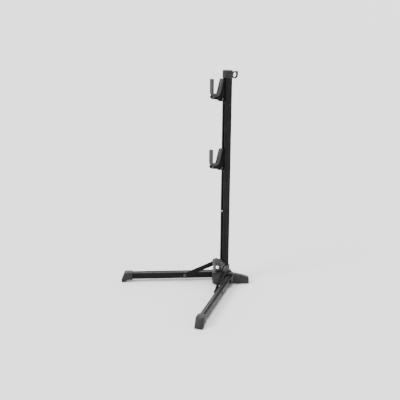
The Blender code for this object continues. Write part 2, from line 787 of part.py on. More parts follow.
def wing_top(drop):
    """Points along the wing's top from its end to its root, lowered by drop."""
    last = WING_LENGTH - WING_CORNER
    steps = 8
    points = []
    for step in range(steps + 1):
        along = last - (last - WING_SLOPE_START) * step / steps
        points.append((along, wing_height(along) - drop))
    points.append((0, WING_ROOT_HEIGHT - drop))
    return points


def wing_outline():
    """A wing seen from its side, rounded at its end."""
    last = WING_LENGTH - WING_CORNER
    corner = (last, wing_height(last) - WING_CORNER)
    points = [(0, WING_ROOT_FLOOR), (WING_LENGTH, WING_GROUND)]
    return points + arc(corner, WING_CORNER, 0, 72, 4) + wing_top(0)


def wing_groove_outline():
    """The thin groove that runs along a wing's outer face."""
    upper = wing_top(WING_GROOVE_DROP)[1:-1]
    lower = wing_top(WING_GROOVE_DROP + WING_GROOVE)[1:-1]
    return upper + list(reversed(lower))


def ear_outline():
    """The outer cheek that carries a leg's fold pin, from its root in the wing."""
    centre = (LEG_PIVOT, LEG_MIDDLE)
    root = (EAR_ROOT + EAR_SEAT) / 2
    points = [(root, HUB_FLOOR + EAR_THICKNESS / 2)]
    points.extend(arc(centre, EAR_RADIUS, -75, 75, 10))
    points.append((EAR_SEAT, LEG_TOP + EAR_THICKNESS))
    points.append((root, LEG_TOP + EAR_THICKNESS))
    return points


def pad_pocket(outline):
    """Cutter for a rubber pad's pocket under the hub."""
    return prism(grown(outline, GAP), -PAD_THICKNESS, PAD_THICKNESS + GAP, FLAT)


def hub_pads():
    """The rubber pads under the wings, as outlines seen from above (x, y)."""
    pads = {}
    for side, name in ((-1, "left_wing_pad"), (1, "right_wing_pad")):
        along, _, outward = wing_axes(side)
        place = along * (WING_LENGTH - WING_PAD_BACK) + outward * WING_OFFSET
        pads[name] = circle((place.x, place.y), WING_PAD_RADIUS, 20)
    return pads


def add_wing(hub, side):
    """One wing with the groove along its outer face."""
    low = WING_OFFSET - WING_HALF_WIDTH
    high = WING_OFFSET + WING_HALF_WIDTH
    wing = helper(prism(wing_outline(), low, high, wing_axes(side)))
    bevel(wing, WING_EDGE, 2, 45)
    merge(hub, wing, "UNION")
    cut(hub, prism(wing_groove_outline(), high - WING_GROOVE, 2 * high, wing_axes(side)))


def leg_way(side):
    """Cutter for the room that a leg's root needs as it folds up."""
    low = EAR_SEAT
    high = EAR_SEAT + 2 * LEG_TAIL + LEG_DEPTH
    outline = [(low, 0), (high, 0), (high, 2 * HUB_TOP), (low, 2 * HUB_TOP)]
    return prism(outline, LEG_INNER - GAP, LEG_OUTER + GAP, leg_axes(side))


def mast_bolt_bore():
    """Cutter for the bolt that holds the mast, with its head's recess below."""
    profile = [
        (0, 0),
        (HUB_BOLT_HEAD + GAP, 0),
        (HUB_BOLT_HEAD + GAP, bolt_seat()),
        (HUB_BOLT + GAP, bolt_seat()),
        (HUB_BOLT + GAP, 2 * HUB_SOCKET_FLOOR),
        (0, 2 * HUB_SOCKET_FLOOR),
    ]
    return turned(profile, Vector((0, 0, 1)), Vector((0, 0, 0)))


def make_hub(finish):
    outline = hub_outline()
    hub = add("hub_body", prism(outline, HUB_FLOOR, HUB_TOP, PLAN), finish["moulding"])
    bevel(hub, HUB_EDGE, 2, 80)
    for side in (-1, 1):
        add_wing(hub, side)
        outer = LEG_OUTER + GAP + EAR_THICKNESS
        join(hub, prism(ear_outline(), LEG_OUTER - GAP, outer, leg_axes(side)))
    cut(hub, prism(grown(mast_outline(), GAP), HUB_SOCKET_FLOOR, 2 * HUB_TOP, PLAN))
    for side in (-1, 1):
        cut(hub, fold_pin_bore(side))
        cut(hub, leg_way(side))
    for outline in hub_pads().values():
        cut(hub, pad_pocket(outline))
    cut(hub, mast_bolt_bore())
    for place in cover_screw_places():
        bore = circle(place, COVER_SCREW + GAP, 12)
        cut(hub, prism(bore, HUB_TOP - COVER_SCREW_LENGTH, 2 * HUB_TOP, PLAN))
    smooth(hub, 30)

    for name, outline in hub_pads().items():
        pad = add(name, prism(outline, 0, PAD_THICKNESS, FLAT), finish["rubber"])
        bevel(pad, PAD_STAND / 3, 1)


def strike_outline():
    """The strike that the latch's toe snaps against, as (forward, up)."""
    back = STRIKE_REACH - STRIKE_LENGTH
    base = HUB_COVER_TOP - 3 * GAP
    top = HUB_COVER_TOP + STRIKE_HEIGHT
    chamfer = 6 * GAP
    return [
        (back, base),
        (STRIKE_REACH, base),
        (STRIKE_REACH, top - chamfer),
        (STRIKE_REACH - chamfer, top),
        (back + STRIKE_LENGTH / 3, top),
    ]


def make_cover(finish):
    outline = cover_outline()
    low = HUB_TOP + GAP
    cover = add("hub_cover", prism(outline, low, HUB_COVER_TOP, PLAN), finish["moulding"])
    bevel(cover, (HUB_COVER_TOP - HUB_TOP) / 4, 2)
    join(cover, prism(strike_outline(), -STRIKE_HALF_WIDTH, STRIKE_HALF_WIDTH, PROFILE))
    cut(cover, prism(grown(mast_outline(), GAP), 0, 2 * HUB_COVER_TOP, PLAN))
    seat = HUB_COVER_TOP - COVER_SCREW
    for place in cover_screw_places():
        cut(cover, prism(circle(place, COVER_SCREW + GAP, 12), 0, 2 * HUB_COVER_TOP, PLAN))
        cut(cover, prism(circle(place, COVER_SCREW_HEAD + GAP, 16), seat, 2 * HUB_COVER_TOP, PLAN))
    smooth(cover)
    profile = headed_pin(COVER_SCREW, COVER_SCREW_LENGTH, COVER_SCREW_HEAD, COVER_SCREW * 0.8)
    for number, (forward, right) in enumerate(cover_screw_places(), 1):
        start = Vector((right, -forward, seat + GAP))
        screw = turned(profile, Vector((0, 0, -1)), start, 12)
        smooth(add("hub_cover_screw_" + str(number), screw, finish["steel"]))


def make_mast_bolt(finish):
    """The bolt up through the hub's floor and the plug it threads into."""
    profile = headed_pin(HUB_BOLT, HUB_BOLT_LENGTH, HUB_BOLT_HEAD, HUB_BOLT_HEAD_HEIGHT)
    place = Vector((0, 0, bolt_seat() - GAP))
    bolt = add("mast_bolt", turned(profile, Vector((0, 0, 1)), place), finish["steel"])
    smooth(bolt)
    outline = grown(hollow_outline(), -GAP)
    plug = add("mast_plug", prism(outline, MAST_BOTTOM, HUB_PLUG_HEIGHT, PLAN), finish["moulding"])
    cut(plug, prism(circle((0, 0), HUB_BOLT + GAP, 16), 0, 2 * HUB_PLUG_HEIGHT, PLAN))


def bolt_seat():
    """Height of the face that the mast bolt's head pulls against."""
    return HUB_FLOOR + HUB_BOLT_HEAD_HEIGHT + GAP


def cover_screw_places():
    """Four screws, as (forward, right)."""
    return [(forward, side * right) for forward, right in COVER_SCREW_PLACES for side in (-1, 1)]


def fold_pin_bore(side):
    """Cutter for a fold pin, from inside the cheek to past the outer ear."""
    axes = leg_axes(side)
    inner = LEG_INNER - 2 * EAR_THICKNESS - GAP
    outer = LEG_OUTER + 3 * EAR_THICKNESS
    return prism(circle((LEG_PIVOT, LEG_MIDDLE), FOLD_PIN + GAP, 20), inner, outer, axes)


def make_fold_pin(side, name, finish):
    outer = LEG_OUTER + GAP + EAR_THICKNESS + GAP
    inner = LEG_INNER - 2 * EAR_THICKNESS
    start = leg_place(side, LEG_PIVOT, outer, LEG_MIDDLE)
    profile = headed_pin(FOLD_PIN, outer - inner, FOLD_PIN_HEAD, FOLD_PIN_HEAD_HEIGHT)
    pin = add(name, turned(profile, -leg_axes(side)[2], start, 20), finish["steel"])
    smooth(pin)


# Legs, each in its own frame: x along from the fold pin, y outwards times side, z up

def leg_section(side):
    """The tube's outside with the groove in its top, as (across, up)."""
    half, tall = LEG_WIDTH / 2, LEG_DEPTH / 2
    round_radii = [LEG_CORNER_ROUND, LEG_CORNER_ROUND, LEG_CORNER_ROUND, LEG_INNER_ROUND]
    outline = rounded_rectangle((-half, -tall), (half, tall), round_radii, 4)
    groove_low = LEG_GROOVE_OFFSET - LEG_GROOVE_WIDTH / 2
    groove_high = LEG_GROOVE_OFFSET + LEG_GROOVE_WIDTH / 2
    floor = tall - LEG_GROOVE_DEPTH
    groove = [(groove_high, tall), (groove_high, floor), (groove_low, floor), (groove_low, tall)]
    with_groove = outline[:15] + groove + outline[15:]
    return [(side * across, up) for across, up in with_groove]


def leg_hollow(side):
    """The tube's inside, which steps down under the groove."""
    half = LEG_WIDTH / 2 - LEG_WALL
    tall = LEG_DEPTH / 2 - LEG_WALL
    step = LEG_GROOVE_OFFSET - LEG_GROOVE_WIDTH / 2 - LEG_GROOVE_WALL
    under = LEG_DEPTH / 2 - LEG_GROOVE_DEPTH - LEG_GROOVE_WALL
    outline = [(-half, -tall), (half, -tall), (half, under), (step, under), (step, tall), (-half, tall)]
    return [(side * across, up) for across, up in outline]


def local(along):
    """Along a leg, measured from its fold pin."""
    return along - LEG_PIVOT


def pin_bore(place, radius, half):
    """Cutter for a cross pin in a leg's or a brace's own frame."""
    return prism(circle(place, radius + GAP, 20), -half, half, ALONG_UP)


def make_leg(side, prefix, finish):
    place = leg_place(side, LEG_PIVOT, LEG_OFFSET, LEG_MIDDLE)
    pivot = empty(prefix + "_leg_pivot", place, (0, 0, leg_heading(side)))
    half = LEG_WIDTH / 2
    body = prism(leg_section(side), -LEG_TAIL, local(LEG_TUBE_END), ACROSS_UP)
    tube = add(prefix + "_leg_tube", body, finish["tube"], pivot)
    cut(tube, prism(leg_hollow(side), -2 * LEG_TAIL, local(FOOT_END), ACROSS_UP), pivot)
    cut(tube, pin_bore((0, 0), FOLD_PIN, LEG_WIDTH), pivot)
    pin_place = (local(BRACE_LEG_PIVOT), BRACE_LEG_HEIGHT - LEG_MIDDLE)
    cut(tube, pin_bore(pin_place, BRACE_PIN, LEG_WIDTH), pivot)
    smooth(tube)

    body = prism(grown(leg_hollow(side), -GAP), -LEG_TAIL, ROOT_BLOCK_LENGTH - LEG_TAIL, ACROSS_UP)
    block = add(prefix + "_leg_root_block", body, finish["moulding"], pivot)
    cut(block, pin_bore((0, 0), FOLD_PIN, LEG_WIDTH), pivot)

    make_foot(side, prefix, finish, pivot)

    length = LEG_WIDTH + GAP
    profile = headed_pin(BRACE_PIN, length, RIVET_HEAD, RIVET_HEAD_HEIGHT)
    start = Vector((pin_place[0], side * (half + GAP), pin_place[1]))
    body = turned(profile, Vector((0, -side, 0)), start, 20)
    smooth(add(prefix + "_leg_brace_pin", body, finish["steel"], pivot))


def foot_outline():
    """The foot seen from its side, as (along, up) about the fold pin."""
    floor = PAD_STAND - LEG_MIDDLE
    low = -LEG_DEPTH / 2 - FOOT_WALL
    high = LEG_DEPTH / 2 + FOOT_WALL
    start, top_end, end = local(FOOT_START), local(FOOT_TOP_END), local(FOOT_END)
    toe = end - FOOT_TOE
    return [
        (start, low),
        (toe - (low - floor), low),
        (toe, floor),
        (end - FOOT_ROUND, floor),
        (end, floor + FOOT_ROUND),
        (end - FOOT_ROUND / 2, floor + 3 * FOOT_ROUND),
        (top_end + FOOT_ROUND, high - FOOT_ROUND),
        (top_end - FOOT_ROUND, high),
        (start, high),
    ]


def foot_screw_bore():
    """Cutter for the screw under the foot, in the leg's own frame."""
    place = (local(FOOT_START) + FOOT_SCREW_BACK, 0)
    low = -LEG_DEPTH / 2 - 2 * FOOT_WALL
    return prism(circle(place, CAP_SCREW_SHANK + GAP, 12), low, -LEG_DEPTH / 4, FLAT)


def make_foot(side, prefix, finish, pivot):
    half = LEG_WIDTH / 2 + FOOT_WALL
    foot = add(prefix + "_foot", prism(foot_outline(), -half, half, ALONG_UP), finish["moulding"], pivot)
    bevel(foot, FOOT_ROUND, 2, 60)
    low = local(FOOT_START) - FOOT_WALL
    high = local(LEG_TUBE_END) + GAP
    cut(foot, prism(grown(leg_section(side), GAP), low, high, ACROSS_UP), pivot)
    pad_low = (local(FOOT_END) - FOOT_TOE + FOOT_ROUND, -half + 2 * FOOT_ROUND)
    pad_high = (local(FOOT_END) - 2 * FOOT_ROUND, half - 2 * FOOT_ROUND)
    outline = rounded_rectangle(pad_low, pad_high, [FOOT_ROUND] * 4, 2)
    pocket_top = PAD_THICKNESS - LEG_MIDDLE
    cut(foot, prism(grown(outline, GAP), -LEG_MIDDLE - PAD_THICKNESS, pocket_top + GAP, FLAT), pivot)
    cut(foot, foot_screw_bore(), pivot)
    smooth(foot)
    cut(bpy.data.objects[prefix + "_leg_tube"], foot_screw_bore(), pivot)

    pad = add(prefix + "_foot_pad", prism(outline, -LEG_MIDDLE, pocket_top, FLAT), finish["rubber"], pivot)
    pitch = (pad_high[1] - pad_low[1]) / PAD_RIBS
    bottom = -LEG_MIDDLE - PAD_RIB
    for rib in range(1, PAD_RIBS):
        centre = pad_low[1] + rib * pitch
        groove = [(centre - PAD_RIB, bottom), (centre + PAD_RIB, bottom), (centre, bottom + 2 * PAD_RIB)]
        cut(pad, prism(groove, pad_low[0] - FOOT_TOE, pad_high[0] + FOOT_TOE, ACROSS_UP), pivot)

    profile = headed_pin(CAP_SCREW_SHANK, FOOT_WALL + LEG_WALL, CAP_SCREW_HEAD, CAP_SCREW_SHANK)
    start = Vector((local(FOOT_START) + FOOT_SCREW_BACK, 0, -LEG_DEPTH / 2 - FOOT_WALL - GAP))
    body = turned(profile, Vector((0, 0, 1)), start, 16)
    smooth(add(prefix + "_foot_screw", body, finish["steel"], pivot))


# Collar with its braces and latch

def collar_ear_outline():
    """A brace's lug seen from the side, as (along, up)."""
    centre = (BRACE_COLLAR_PIVOT, BRACE_COLLAR_HEIGHT)
    points = [(COLLAR_EAR_ROOT, COLLAR_EAR_LOW)]
    points.extend(arc(centre, COLLAR_EAR_RADIUS, -80, 80, 10))
    points.append((COLLAR_EAR_ROOT, COLLAR_EAR_HIGH))
    return points


def arm_outline():
    """The arm that carries the latch, as (forward, up)."""
    radius = ARM_DEPTH / 2
    face = MAST_REACH + COLLAR_FIT
    centre = (LATCH_PIVOT_REACH, ARM_TOP - radius)
    points = [(face, ARM_TOP - ARM_DEPTH)]
    points.extend(arc(centre, radius, -90, 90, 10))
    points.append((ARM_FALL_START, ARM_TOP))
    points.append((face, ARM_TOP - ARM_FALL))
    return points


def latch_slit():
    """Cutter for the slit in the arm that the latch's tongue turns in."""
    low = LATCH_PIVOT_REACH - LATCH_HEEL - 2 * GAP
    high = 2 * LATCH_OUTER
    outline = [(low, 0), (high, 0), (high, 2 * ARM_TOP), (low, 2 * ARM_TOP)]
    return prism(outline, -ARM_SLOT_HALF, ARM_SLOT_HALF, PROFILE)


def make_collar(finish):
    carriage = empty("collar_slide", (0, 0, 0))
    sleeve = prism(grown(mast_outline(), COLLAR_FIT + COLLAR_WALL), COLLAR_BOTTOM, COLLAR_SLEEVE_TOP, PLAN)
    collar = add("collar", sleeve, finish["collar"], carriage)
    bevel(collar, COLLAR_WALL / 4, 1, 80)
    back = MAST_REACH + COLLAR_FIT / 2
    front = COLLAR_BLOCK_REACH
    half = COLLAR_BLOCK_HALF
    block = [(back, -half), (front, -half), (front, half), (back, half)]
    join(collar, prism(block, COLLAR_BLOCK_LOW, ARM_TOP - ARM_DEPTH + GAP, PLAN), carriage)
    outer = BRACE_INNER - GAP
    inner = outer - COLLAR_EAR_THICKNESS
    for side in (-1, 1):
        join(collar, prism(collar_ear_outline(), inner, outer, leg_axes(side)), carriage)
    join(collar, prism(arm_outline(), -ARM_HALF_WIDTH, ARM_HALF_WIDTH, PROFILE), carriage)
    cut(collar, prism(grown(mast_outline(), COLLAR_FIT), 0, 2 * ARM_TOP, PLAN), carriage)
    cut(collar, latch_slit(), carriage)
    bore = circle((LATCH_PIVOT_REACH, LATCH_PIVOT_HEIGHT), LATCH_PIN + GAP, 16)
    cut(collar, prism(bore, -LINER_WIDTH, LINER_WIDTH, PROFILE), carriage)
    bore = circle((BRACE_COLLAR_PIVOT, BRACE_COLLAR_HEIGHT), BRACE_PIN + GAP, 20)
    for side in (-1, 1):
        cut(collar, prism(bore, inner - BRACE_THICKNESS, BRACE_OUTER, leg_axes(side)), carriage)
    smooth(collar, 35)
    for side, prefix in ((-1, "left"), (1, "right")):
        make_brace(side, prefix, finish, carriage)
    make_latch(finish, carriage)


def brace_outline():
    """A bar with round ends, from its upper pin to its lower one."""
    points = list(arc((0, 0), BRACE_HALF_WIDTH, 90, 270, 10))
    points.extend(arc((BRACE_LENGTH, 0), BRACE_HALF_WIDTH, -90, 90, 10))
    return points


def make_brace(side, prefix, finish, carriage):
    middle = (BRACE_INNER + BRACE_OUTER) / 2
    place = leg_place(side, BRACE_COLLAR_PIVOT, middle, BRACE_COLLAR_HEIGHT)
    pivot = empty(prefix + "_brace_pivot", place, (0, BRACE_SLOPE, leg_heading(side)), carriage)
    half = BRACE_THICKNESS / 2
    brace = add(prefix + "_brace", prism(brace_outline(), -half, half, ALONG_UP), finish["tube"], pivot)
    bevel(brace, BRACE_THICKNESS / 5, 1, 60)
    for along in (0, BRACE_LENGTH):
        cut(brace, pin_bore((along, 0), BRACE_PIN, BRACE_THICKNESS), pivot)
    smooth(brace)

    profile = headed_pin(BRACE_PIN, BRACE_THICKNESS + BRACE_LEG_GAP / 2, RIVET_HEAD, RIVET_HEAD_HEIGHT)
    start = Vector((BRACE_LENGTH, -side * (half + GAP), 0))
    body = turned(profile, Vector((0, side, 0)), start, 20)
    smooth(add(prefix + "_brace_rivet", body, finish["steel"], pivot))

    shank = BRACE_THICKNESS + GAP + COLLAR_EAR_THICKNESS + GAP
    start = leg_place(side, BRACE_COLLAR_PIVOT, BRACE_OUTER + GAP / 3, BRACE_COLLAR_HEIGHT)
    profile = headed_pin(BRACE_PIN, shank, BRACE_PIN_HEAD, BRACE_PIN_HEAD_HEIGHT)
    body = turned(profile, -leg_axes(side)[2], start, 20)
    smooth(add(prefix + "_collar_pin", body, finish["steel"], carriage))


def latch_outline():
    """The latch's strip with its toe, as (forward, up) about its pivot."""
    inner = LATCH_INNER - LATCH_PIVOT_REACH
    outer = LATCH_OUTER - LATCH_PIVOT_REACH
    foot = LATCH_FOOT - LATCH_PIVOT_HEIGHT
    toe = STRIKE_REACH + GAP - LATCH_PIVOT_REACH
    top = -LATCH_SHOULDER
    return [
        (inner, top),
        (inner, foot + 2 * LATCH_TOE_HEIGHT),
        (toe, foot + LATCH_TOE_HEIGHT),
        (toe, foot + GAP),
        (toe + GAP, foot),
        (outer - 3 * GAP, foot),
        (outer, foot + 3 * GAP),
        (outer, top),
    ]


def latch_tongue():
    """The latch's eye and heel, which turn inside the arm's slit."""
    back = LATCH_INNER - LATCH_PIVOT_REACH - 4 * GAP
    front = LATCH_OUTER - LATCH_PIVOT_REACH - 3 * GAP
    root = -LATCH_SHOULDER - 3 * GAP
    points = arc((0, 0), LATCH_EYE, 0, 180, 10)
    points += [(-LATCH_HEEL, -LATCH_HEEL_TOP), (-LATCH_HEEL, -LATCH_HEEL_LOW)]
    points += [(back, -LATCH_HEEL_LOW), (back, root), (front, root)]
    return points


def make_latch(finish, carriage):
    place = Vector((0, -LATCH_PIVOT_REACH, LATCH_PIVOT_HEIGHT))
    pivot = empty("latch_pivot", place, (0, 0, 0), carriage)
    half = LATCH_HALF_WIDTH
    latch = add("latch_lever", prism(latch_outline(), -half, half, PROFILE), finish["liner"], pivot)
    bevel(latch, 2 * GAP, 1, 60)
    join(latch, prism(latch_tongue(), -LATCH_TONGUE_HALF, LATCH_TONGUE_HALF, PROFILE), pivot)
    cut(latch, prism(circle((0, 0), LATCH_PIN + GAP, 16), -half, half, PROFILE), pivot)
    smooth(latch)
    half = ARM_HALF_WIDTH - GAP
    outline = circle((LATCH_PIVOT_REACH, LATCH_PIVOT_HEIGHT), LATCH_PIN, 16)
    smooth(add("latch_pin", prism(outline, -half, half, PROFILE), finish["steel"], carriage))
    make_spring(finish, carriage)


def ribbon(path, thickness):
    """A bent strip's outline: its path and the same path moved to the right of its run."""
    moved = []
    for index, point in enumerate(path):
        here = Vector(point)
        before = Vector(path[max(index - 1, 0)])
        after = Vector(path[min(index + 1, len(path) - 1)])
        first = (here - before).normalized() if index else (after - here).normalized()
        second = (after - here).normalized() if index < len(path) - 1 else first
        middle = Vector((first.y + second.y, -first.x - second.x))
        moved.append(tuple(here + middle * (2 * thickness / middle.length_squared)))
    return list(path) + list(reversed(moved))


def make_spring(finish, carriage):
    """A leaf on the collar's block. Its free end lifts the latch's heel."""
    block = COLLAR_BLOCK_REACH + GAP
    heel = LATCH_PIVOT_REACH - LATCH_HEEL
    under_heel = LATCH_PIVOT_HEIGHT - LATCH_HEEL_LOW - GAP
    under_arm = ARM_TOP - ARM_DEPTH - 3 * GAP
    low = under_arm - SPRING_SEAT - SPRING_REACH * math.tan(math.radians(30))
    path = [
        (block, low),
        (block, low + SPRING_SEAT),
        (block + SPRING_REACH, under_arm),
        (heel + 4 * GAP, under_heel),
        (heel + 8 * GAP, under_heel),
    ]
    outline = ribbon(path, SPRING_THICKNESS)
    body = prism(outline, -SPRING_HALF_WIDTH, SPRING_HALF_WIDTH, PROFILE)
    add("latch_spring", body, finish["spring"], carriage)


def clear_scene():
    """Removes whatever the scene holds."""
    for old in list(bpy.data.objects):
        bpy.data.objects.remove(old, do_unlink=True)


def move_back():
    """Hangs everything on one empty, on the mast's axis."""
    loose = [piece for piece in bpy.data.objects if piece.parent is None]
    axis = empty("mast_axis", (0, MAST_BACK, 0))
    for piece in loose:
        piece.parent = axis


def build_stand():
    clear_scene()
    finish = make_materials()
    make_mast(finish)
    make_cap(finish)
    make_hook("upper_hook", UPPER_HOOK, finish)
    make_hook("lower_hook", LOWER_HOOK, finish)
    make_hub(finish)
    make_cover(finish)
    make_mast_bolt(finish)
    for side, prefix in ((-1, "left"), (1, "right")):
        make_fold_pin(side, prefix + "_fold_pin", finish)
        make_leg(side, prefix, finish)
    make_collar(finish)
    move_back()


build_stand()
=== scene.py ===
# A folding floor stand for a bicycle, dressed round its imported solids. A black slotted
# mast carries two rubber-lined hooks. A moulded hub holds it, with two short wings
# behind and two long legs in front, which fold up with a sliding collar and braces.

import math

import bmesh
import bpy
import numpy as np
from mathutils import Matrix, Vector


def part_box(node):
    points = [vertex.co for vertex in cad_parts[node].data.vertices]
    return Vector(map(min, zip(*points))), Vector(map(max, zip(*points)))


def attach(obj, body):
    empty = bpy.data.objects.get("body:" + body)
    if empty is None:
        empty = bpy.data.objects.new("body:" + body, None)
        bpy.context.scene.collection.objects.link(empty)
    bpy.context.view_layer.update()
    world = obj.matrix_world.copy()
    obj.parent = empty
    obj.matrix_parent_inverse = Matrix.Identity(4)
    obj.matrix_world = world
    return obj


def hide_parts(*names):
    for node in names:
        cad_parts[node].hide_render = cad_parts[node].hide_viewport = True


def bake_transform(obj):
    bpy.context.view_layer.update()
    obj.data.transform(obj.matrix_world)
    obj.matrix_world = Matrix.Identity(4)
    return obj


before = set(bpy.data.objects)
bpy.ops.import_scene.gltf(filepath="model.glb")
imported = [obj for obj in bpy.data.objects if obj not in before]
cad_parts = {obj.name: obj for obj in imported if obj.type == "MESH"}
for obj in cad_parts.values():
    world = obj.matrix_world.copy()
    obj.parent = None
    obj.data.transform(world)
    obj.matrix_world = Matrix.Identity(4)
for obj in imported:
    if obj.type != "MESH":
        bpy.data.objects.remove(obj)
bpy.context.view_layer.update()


# Mast: one extrusion of black anodised aluminium, eight-sided, with a T slot down its
# front that the hooks' anchors slide in. It stands in the hub's socket.

FULL_WEAR_RADIUS = 0.0012               # an edge this sharp or sharper wears fully


def filleted(corners, radii, steps=3):
    """A closed outline with rounded corners, and how worn each of its points is.

    At each corner an arc of the given radius is spun between its two tangent points.
    A point a little before and after the arc ends the worn strip.
    """
    corner = np.asarray(corners, float)
    radius = np.broadcast_to(np.asarray(radii, float), len(corner))[:, None]
    back = np.roll(corner, 1, 0) - corner
    ahead = np.roll(corner, -1, 0) - corner
    back_run = np.linalg.norm(back, axis=1, keepdims=True)
    ahead_run = np.linalg.norm(ahead, axis=1, keepdims=True)
    back, ahead = back / back_run, ahead / ahead_run
    half = np.arccos(np.clip((back * ahead).sum(1, keepdims=True), -1, 1)) / 2
    reach = radius / np.tan(half)
    middle = back + ahead
    middle = middle / np.linalg.norm(middle, axis=1, keepdims=True)
    centre = corner + middle * radius / np.sin(half)
    first = corner + back * reach - centre
    last = corner + ahead * reach - centre
    sweep = (np.pi - 2 * half)[:, None]
    share = np.linspace(0, 1, steps + 1)[None, :, None]
    arc = np.sin((1 - share) * sweep) * first[:, None] + np.sin(share * sweep) * last[:, None]
    arc = arc / np.sin(sweep) + centre[:, None]
    strip = reach + 0.6 * radius
    before = corner + back * np.minimum(strip, 0.49 * back_run)
    after = corner + ahead * np.minimum(strip, 0.49 * ahead_run)
    points = np.concatenate((before[:, None], arc, after[:, None]), axis=1)
    on_arc = np.array([0.0] + [1.0] * (steps + 1) + [0.0])
    worn = np.minimum(1, FULL_WEAR_RADIUS / radius) * on_arc
    return points.reshape(-1, 2), worn.reshape(-1)


def drawn_in(outline, distance):
    """The outline moved inwards: each point goes along its mitred normal by the distance."""
    def unit(run):
        return run / np.linalg.norm(run, axis=1, keepdims=True)
    following = np.roll(outline, -1, 0)
    turn = np.sign(np.sum(outline[:, 0] * following[:, 1] - outline[:, 1] * following[:, 0]))
    before = unit(outline - np.roll(outline, 1, 0))[:, ::-1] * (turn, -turn)
    after = unit(following - outline)[:, ::-1] * (turn, -turn)
    mitre = (before + after) / (1 + (before * after).sum(1, keepdims=True))
    return outline - mitre * distance


def rim(low, high, low_round, high_round, steps=3):
    """Levels of a straight wall with a quarter circle at each end: inset, height, wear.

    Wear runs in over each flat end and along the wall by these shares of the radius.
    """
    over_end, along_wall = 1.3, 1.8
    turn = np.linspace(0, np.pi / 2, steps + 1)
    near, far = 1 - np.cos(turn), 1 - np.sin(turn)
    one = np.ones_like(turn)
    foot = np.stack((low_round * far, low + low_round * near, one), 1)
    head = np.stack((high_round * near, high - high_round * far, one), 1)
    start = [[over_end * low_round, low, 0]]
    inner = [[0, low + along_wall * low_round, 0], [0, high - along_wall * high_round, 0]]
    end = [[over_end * high_round, high, 0]]
    return np.concatenate((start, foot, inner, head, end))


MAST = np.array((0, 0.08969, 0))        # foot of the mast's axis


def made(name, points, faces, worn, lay=None, angle=38):
    """A mesh object from arrays that are measured from the foot of the mast's axis.

    Its normals are turned outwards, and it is smooth but for corners past the angle.
    """
    mesh = bpy.data.meshes.new(name)
    mesh.from_pydata((np.reshape(points, (-1, 3)) + MAST).tolist(), [], faces)
    wear = mesh.attributes.new("worn", "FLOAT", "POINT")
    wear.data.foreach_set("value", np.ravel(worn))
    if lay is not None:
        grain_run = mesh.attributes.new("lay", "FLOAT_VECTOR", "POINT")
        grain_run.data.foreach_set("vector", np.ravel(lay))
    shell = bmesh.new()
    shell.from_mesh(mesh)
    bmesh.ops.remove_doubles(shell, verts=shell.verts, dist=1e-7)
    bmesh.ops.recalc_face_normals(shell, faces=shell.faces)
    shell.to_mesh(mesh)
    shell.free()
    mesh.shade_smooth()
    mesh.set_sharp_from_angle(angle=math.radians(angle))
    piece = bpy.data.objects.new(name, mesh)
    bpy.context.scene.collection.objects.link(piece)
    return piece


def grid_faces(rows, columns, ends=True):
    """Four-cornered faces of a grid that closes across its columns, and a flat one on each end."""
    index = np.arange(rows * columns).reshape(rows, columns)
    ahead = np.roll(index, -1, 1)
    corners = np.stack((index[:-1], ahead[:-1], ahead[1:], index[1:]), -1)
    faces = corners.reshape(-1, 4).tolist()
    if ends:
        faces += [index[0, ::-1].tolist(), index[-1].tolist()]
    return faces


def extruded(name, outline, worn, levels, axes, start=(0, 0, 0)):
    """The outline carried through the levels, drawn in by each level's inset.

    A point is start plus first axis times u, second axis times v and third times the height.
    """
    u, v, run = (np.asarray(axis, float) for axis in axes)
    flat = np.stack([drawn_in(outline, inset) for inset in levels[:, 0]])
    height = levels[:, 1][:, None, None]
    points = start + flat[..., :1] * u + flat[..., 1:] * v + height * run
    wear = np.maximum(worn[None, :], levels[:, 2][:, None])
    lay = np.concatenate((flat, np.broadcast_to(height, flat[..., :1].shape)), axis=-1)
    return made(name, points, grid_faces(*flat.shape[:2]), wear, lay)


def shader_group(name, inputs, outputs):
    """An empty shader node group. Each of its sockets carries a value."""
    tree = bpy.data.node_groups.new(name, "ShaderNodeTree")
    for label, value in inputs.items():
        socket = tree.interface.new_socket(label, in_out="INPUT", socket_type="NodeSocketFloat")
        socket.default_value = value
    for label in outputs:
        tree.interface.new_socket(label, in_out="OUTPUT", socket_type="NodeSocketFloat")
    return tree


def put_out(tree, **values):
    """Joins each value to the group's output of that name, and gives the group back."""
    out = tree.nodes.new("NodeGroupOutput")
    for label, value in values.items():
        tree.links.new(value, out.inputs[label])
    return tree


def node(tree, kind, inputs=(), **settings):
    """Adds a shader node. An input is a value or another node's output."""
    new = tree.nodes.new("ShaderNode" + kind)
    for key, value in settings.items():
        setattr(new, key, value)
    for key, value in dict(inputs).items():
        if isinstance(value, bpy.types.NodeSocket):
            tree.links.new(value, new.inputs[key])
        else:
            new.inputs[key].default_value = value
    return new


def spread(tree, value, low, high, to_low=0.0, to_high=1.0):
    """Maps a value from one range to another, held at both ends."""
    inputs = {"Value": value, "From Min": low, "From Max": high, "To Min": to_low, "To Max": to_high}
    return node(tree, "MapRange", inputs).outputs[0]


def maths(tree, operation, first, second):
    """One sum of two values."""
    return node(tree, "Math", {0: first, 1: second}, operation=operation).outputs[0]


def noise(tree, place, scale, detail, roughness=0.5):
    """Cloudy noise over a place."""
    inputs = {"Vector": place, "Scale": scale, "Detail": detail, "Roughness": roughness}
    return node(tree, "TexNoise", inputs).outputs[0]


